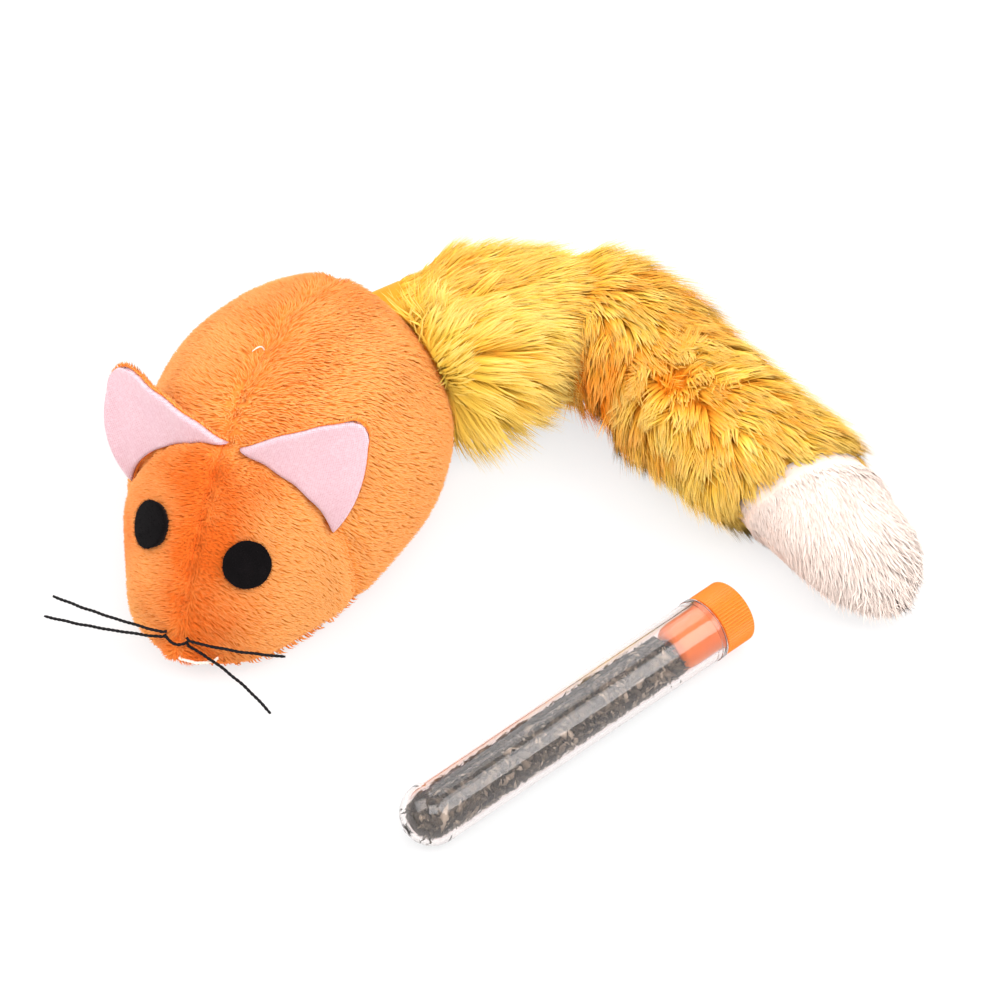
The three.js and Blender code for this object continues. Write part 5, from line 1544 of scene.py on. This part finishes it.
def seam_reach(angle, inset):
    """How far the belly seam is from the slot's middle in each direction, read off the outline
    of all points where the body's lower surface passes the seam's level."""
    y = NOSE_Y + BODY_LENGTH * np.linspace(0, 1, 500)
    left, right, _, bottom, widest = section_at(y)
    level = BELLY_SEAM - 0.15
    deep = np.clip((widest - level) / np.maximum(widest - bottom - inset, 0.1), 0, 1)
    width = (1 - deep ** LOWER_POWER) ** (1 / LOWER_POWER)
    width = np.where(bottom > level - 0.3, 0, width)
    edge_y = np.clip(y, NOSE_Y + inset, NOSE_Y + BODY_LENGTH - inset)
    outline = np.concatenate([np.stack([(left - inset) * width, edge_y], -1),
                              np.stack([-(right - inset) * width, edge_y], -1)])
    outline = outline[np.concatenate([width > 0, width > 0])] - SLOT_MIDDLE
    turn = np.arctan2(outline[:, 1], outline[:, 0])
    order = np.argsort(turn)
    return np.interp(angle, turn[order], np.hypot(*outline[order].T), period=2 * np.pi)


def belly_ring(inset, rows=34, columns=180):
    """Rings of points from the slot's edge to the seam."""
    angle = np.linspace(-np.pi, np.pi, columns + 1)[:-1]
    ray = np.stack([np.cos(angle), np.sin(angle)], -1)
    near = 1 / np.maximum(np.abs(ray[:, 0]) / SLOT_HALF[0], np.abs(ray[:, 1]) / SLOT_HALF[1])
    far = seam_reach(angle, inset)
    share = np.linspace(0, 1, rows)[:, None] ** 0.9
    reach = near + (far - near) * share
    flat = SLOT_MIDDLE + ray * reach[..., None]
    level = belly_height(flat[..., 0], flat[..., 1], inset)
    hem = 0.5 * np.exp(-(reach - near) / 1.2)
    rings = np.concatenate([flat, (level + hem)[..., None]], -1)
    # The seam allowance turns up behind the side panels.
    inward = np.concatenate([-ray, np.full((columns, 1), 2.2)], -1)
    return np.concatenate([rings, rings[-1:] + inward])


def torus_form(outer, inner, **numbers):
    """A ring-shaped sheet: the outer rings, then the inner rings backwards, joined in a loop."""
    rings = np.concatenate([outer, inner[::-1], outer[:1]])
    columns = outer.shape[1]
    faces = grid_triangles(len(rings), columns, wrap=True) % ((len(rings) - 1) * columns)
    return outward(form(rings[:-1].reshape(-1, 3), faces, **numbers))


def pile_on(skin, sheet, normal, flow, count, length, width, rng, lean=(18, 72)):
    """Pile over a sheet, none of it below the floor, joined to its skin, with its bake map. The
    normal is one direction, or a function of rows and columns. Lean holds the pile's angle off
    it at the root and at the tip."""
    row, column = scatter(sheet, count, rng)
    roots = sample_grid(sheet, row, column)
    normal = np.array(normal(row, column) if callable(normal) else np.broadcast_to(normal, (count, 3)))
    ways = np.array(flow) + 0.25 * rng.normal(size=(count, 3))
    fibres = grow(roots, normal, ways, length * (0.8 + 0.4 * rng.random(count)), width, *lean, segments=2,
                  tone=rng.random(count), locks=locks_of(roots[:, 0], roots[:, 1], 1.4), pull=0.25)
    fibres["points"][:, 2] = np.maximum(fibres["points"][:, 2], 0.1)
    return join(skin, fibres), bake_map(skin, fibres)


under_rng = np.random.default_rng(31)
outer = belly_ring(PILE_DEPTH)
belly_skin = torus_form(outer, belly_ring(PILE_DEPTH + BACKING), along=0.35)
closed = np.concatenate([outer, outer[:, :1]], 1)[:-1]


def belly_normal(row, column):
    """The panel's own normals, outward: straight down in the middle, and back or sideways
    where the panel turns up to the seam."""
    normal = sample_grid(grid_normals(closed), row, column)
    away = sample_grid(closed, row, column) - np.array([0, NOSE_Y + BODY_LENGTH / 2, 20.0])
    return unit(normal * np.sign(np.sum(normal * away, -1, keepdims=True)))


shape, layout = pile_on(belly_skin, closed, belly_normal, (0.0, 1.0, 0.0), int(4000 * share_of), length=1.7,
                        width=0.5, rng=under_rng)
add_piece("belly_plush", shape, ORANGE_PLUSH, "body", ["belly_panel"], {"OFBake": layout})

# %% [markdown]
# The flap over the slot is the same plush, hinged along one long side by its own cloth. Behind
# it a hook tape on the flap meets a loop tape on the body, and a small cotton bag holds the
# leaf. A bag of thin cloth has no flat sides: its walls belly out and its corners are soft.

# %% Make the pocket
flap_low, flap_high = [np.array(v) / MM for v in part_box("pocket_flap")]
x = np.linspace(flap_low[0], flap_high[0], 30)
y = np.linspace(flap_low[1], flap_high[1], 46)
gx, gy = np.meshgrid(x, y, indexing="ij")
near_edge = np.minimum(np.minimum(gx - flap_low[0], flap_high[0] - gx),
                       np.minimum(gy - flap_low[1], flap_high[1] - gy))
thin = 0.16 * np.exp(-near_edge / 0.5)
lower = np.stack([gx, gy, flap_low[2] + 0.38 + thin], -1)
upper = np.stack([gx, gy, flap_high[2] - thin], -1)
flap_skin = outward(shell(lower, upper, along=0.35))
shape, layout = pile_on(flap_skin, lower, (0, 0, -1.0), (0.3, 1.0, 0.0), int(1800 * share_of), length=0.9,
                        width=0.4, rng=under_rng, lean=(45, 84))
add_piece("pocket_flap_plush", shape, ORANGE_PLUSH, "flap", ["pocket_flap"], {"OFBake": layout})

TAPE_NYLON, tree = new_material("woven_nylon_tape_orange")
place = add_node(tree, "TexCoord")
# A tape is woven with about two threads a millimetre, which two crossed waves stand for.
warp = add_node(tree, "TexWave", {"Vector": place.outputs["Object"], "Scale": 320.0}, bands_direction="X")
weft = add_node(tree, "TexWave", {"Vector": place.outputs["Object"], "Scale": 320.0}, bands_direction="Y")
weave = add_node(tree, "Math", {0: warp.outputs["Fac"], 1: weft.outputs["Fac"]}, operation="MULTIPLY")
two_tone_surface(tree, weave.outputs[0], ("#D9741F", "#F3914A"), weave.outputs[0], 0.5, 0.0001,
                 {"Roughness": 0.55})


TAPE_THICKNESS = 0.35


def tape(name, facing, body):
    """A strip of woven tape. The one that faces up carries rows of small hooks, and the one
    that faces down a mat of loops, each on the face that meets the other tape."""
    hooked = facing > 0
    low, high = [np.array(v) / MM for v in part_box(name)]
    x, y = np.linspace(low[0], high[0], 10), np.linspace(low[1], high[1], 40)
    gx, gy = np.meshgrid(x, y, indexing="ij")
    bottom, top = low[2], high[2]
    if hooked:
        top = low[2] + TAPE_THICKNESS
    else:
        bottom = high[2] - TAPE_THICKNESS
    upper, lower = [np.stack([gx, gy, np.full_like(gx, level)], -1) for level in (top, bottom)]
    strip = outward(shell(upper, lower))
    count = 420
    row, column = scatter(np.stack([gx, gy, 0 * gx], -1), count, under_rng)
    if hooked:
        row, column = np.round(row * 1.4) / 1.4, np.round(column * 1.2) / 1.2
    roots = sample_grid(upper if hooked else lower, row, column)
    roots[:, 0] = np.clip(roots[:, 0], low[0] + 0.3, high[0] - 0.3)
    roots[:, 1] = np.clip(roots[:, 1], low[1] + 0.4, high[1] - 0.4)
    normal = np.broadcast_to([0, 0, float(facing)], (count, 3))
    hooks = grow(roots, normal, under_rng.normal(size=(count, 3)) * [0.2 if hooked else 1, 1, 0], length=0.62,
                 width=0.14, rise=0, fall=165 if hooked else 120, segments=4, tone=under_rng.random(count), flat=0.9)
    hooks["normals"][:] = 0
    hooks["points"][:, 2] = np.clip(hooks["points"][:, 2], low[2] + 0.02, high[2] - 0.02)
    add_piece(f"{name}_woven", join(strip, hooks), TAPE_NYLON, body, [name])


tape("hook_tape", 1, "flap")
tape("loop_tape", -1, "body")

bag_low, bag_high = [np.array(v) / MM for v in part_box("catnip_pouch")]
bag_middle, bag_half = (bag_low + bag_high) / 2, (bag_high - bag_low) / 2


def bag_rings(inset, shares):
    """Rings of the bag from its closed top down to its mouth: superellipses of power 5 that
    close over the top like a dome, with walls that wave in and out by a third of a millimetre."""
    angle = np.linspace(0, 2 * np.pi, 73)[:-1]
    across = np.sign(np.cos(angle)) * np.abs(np.cos(angle)) ** 0.4
    length = np.sign(np.sin(angle)) * np.abs(np.sin(angle)) ** 0.4
    rings = []
    for share in shares:
        spread = (1 - (1 - min(share / 0.16, 1)) ** 3) ** (1 / 3)
        level = bag_high[2] - inset - (bag_high[2] - inset - bag_low[2]) * max(share - 0.02 * (1 - spread), 0)
        wave = 0.3 * np.sin(angle * 5 + share * 6) * min(share * 3, 1) * (share < 0.93) + 0.3
        rings.append(np.stack([bag_middle[0] + across * (bag_half[0] - inset - wave) * spread,
                               bag_middle[1] + length * (bag_half[1] - inset - wave) * spread,
                               np.full_like(angle, level)], -1))
    return np.stack(rings)


shares = np.concatenate([[0.00002], np.linspace(0.004, 0.16, 12), np.linspace(0.2, 1, 24)])
bag = outward(tube_form(np.concatenate([bag_rings(0.0, shares), bag_rings(0.45, shares)[::-1]])))
POUCH_COTTON, tree = new_material("plain_woven_cotton_natural")
place = add_node(tree, "TexCoord")
warp = add_node(tree, "TexWave", {"Vector": place.outputs["Object"], "Scale": 400.0, "Distortion": 0.4},
                bands_direction="Z")
weft = add_node(tree, "TexWave", {"Vector": place.outputs["Object"], "Scale": 400.0, "Distortion": 0.4},
                bands_direction="DIAGONAL")
weave = add_node(tree, "Math", {0: warp.outputs["Fac"], 1: weft.outputs["Fac"]}, operation="ADD")
slub = add_node(tree, "TexNoise", {"Vector": place.outputs["Object"], "Scale": 260.0, "Detail": 3.0})
two_tone_surface(tree, slub.outputs["Fac"], ("#DDD3BF", "#F1EADB"), weave.outputs[0], 0.4, 0.0001,
                 {"Roughness": 0.92, "Sheen Weight": 0.1})
add_piece("catnip_bag", bag, POUCH_COTTON, "body", ["catnip_pouch"])

# %% [markdown]
# The filling is loose polyester fibre. It is never seen while the seams hold, but it shows the
# toy's true inside where the pocket opens, so it gets its own lumpy forms: one for the head
# and one for the body, which a Boolean hollows out for the pouch.

# %% Stuff the toy
FIBRE_FILL, tree = new_material("polyester_fibre_fill_white")
place = add_node(tree, "TexCoord")
tangle = add_node(tree, "TexNoise", {"Vector": place.outputs["Object"], "Scale": 900.0, "Detail": 5.0,
                                     "Distortion": 2.0})
two_tone_surface(tree, tangle.outputs["Fac"], ("#E4E2DE", "#FAF9F6"), tangle.outputs["Fac"], 0.8, 0.0004,
                 {"Roughness": 1.0, "Sheen Weight": 0.3})


def fill_form(start, stop, inset, rows=40):
    """The body's own form drawn in by an inset, cut flat underneath, with soft lumps."""
    angle = np.linspace(0, 2 * np.pi, 65)[:-1]
    t = start + (stop - start) * np.linspace(0, 1, rows)[:, None]
    y = NOSE_Y + inset + t * (BODY_LENGTH - 2 * inset)
    left, right, top, bottom, widest = section_at(NOSE_Y + t * BODY_LENGTH)
    power = np.where(np.sin(angle) > 0, UPPER_POWER, LOWER_POWER)
    across = np.sign(np.cos(angle)) * np.abs(np.cos(angle)) ** (2 / power)
    up = np.sign(np.sin(angle)) * np.abs(np.sin(angle)) ** (2 / power)
    half = np.where(across > 0, left, right) - inset
    reach = np.where(up > 0, top - inset - widest, widest - bottom - inset)
    lumps = 1 - 0.03 * (0.5 + 0.5 * np.sin(5 * angle + 9 * t) * np.cos(23 * t + 2 * angle))
    z = np.maximum(widest + up * reach * lumps, inset)
    return outward(tube_form(np.stack([across * half * lumps, np.broadcast_to(y, z.shape), z], -1)))


fill_inset = PILE_DEPTH + BACKING + 0.35
add_piece("head_fill", fill_form(0.0, neck_share - 0.004, fill_inset, 24), FIBRE_FILL, "body", ["head_stuffing"])
body_fill = add_piece("body_fill", fill_form(neck_share + 0.004, 1.0, fill_inset), FIBRE_FILL, "body",
                      ["body_stuffing"])
room_low = np.array([bag_low[0] - 0.3, bag_low[1] - 0.3, -5.0])
room_high = np.array([flap_high[0] + 0.3, bag_high[1] + 0.3, bag_high[2] + 0.3])
corners = np.stack(np.meshgrid(*zip(room_low, room_high), indexing="ij"), -1).reshape(-1, 3)
sides = np.array([(0, 1, 3), (0, 3, 2), (4, 6, 7), (4, 7, 5), (0, 4, 5), (0, 5, 1), (2, 3, 7), (2, 7, 6), (0, 2, 6),
                  (0, 6, 4), (1, 5, 7), (1, 7, 3)])
cutter = add_piece("pocket_room", outward(form(corners, sides)), FIBRE_FILL, None)
hollow = body_fill.modifiers.new("pocket", "BOOLEAN")
hollow.object, hollow.operation, hollow.solver = cutter, "DIFFERENCE", "EXACT"
hollowed = bpy.data.meshes.new_from_object(body_fill.evaluated_get(bpy.context.evaluated_depsgraph_get()))
body_fill.modifiers.clear()
body_fill.data = hollowed
bpy.data.objects.remove(cutter)
print("body fill faces:", len(hollowed.polygons))
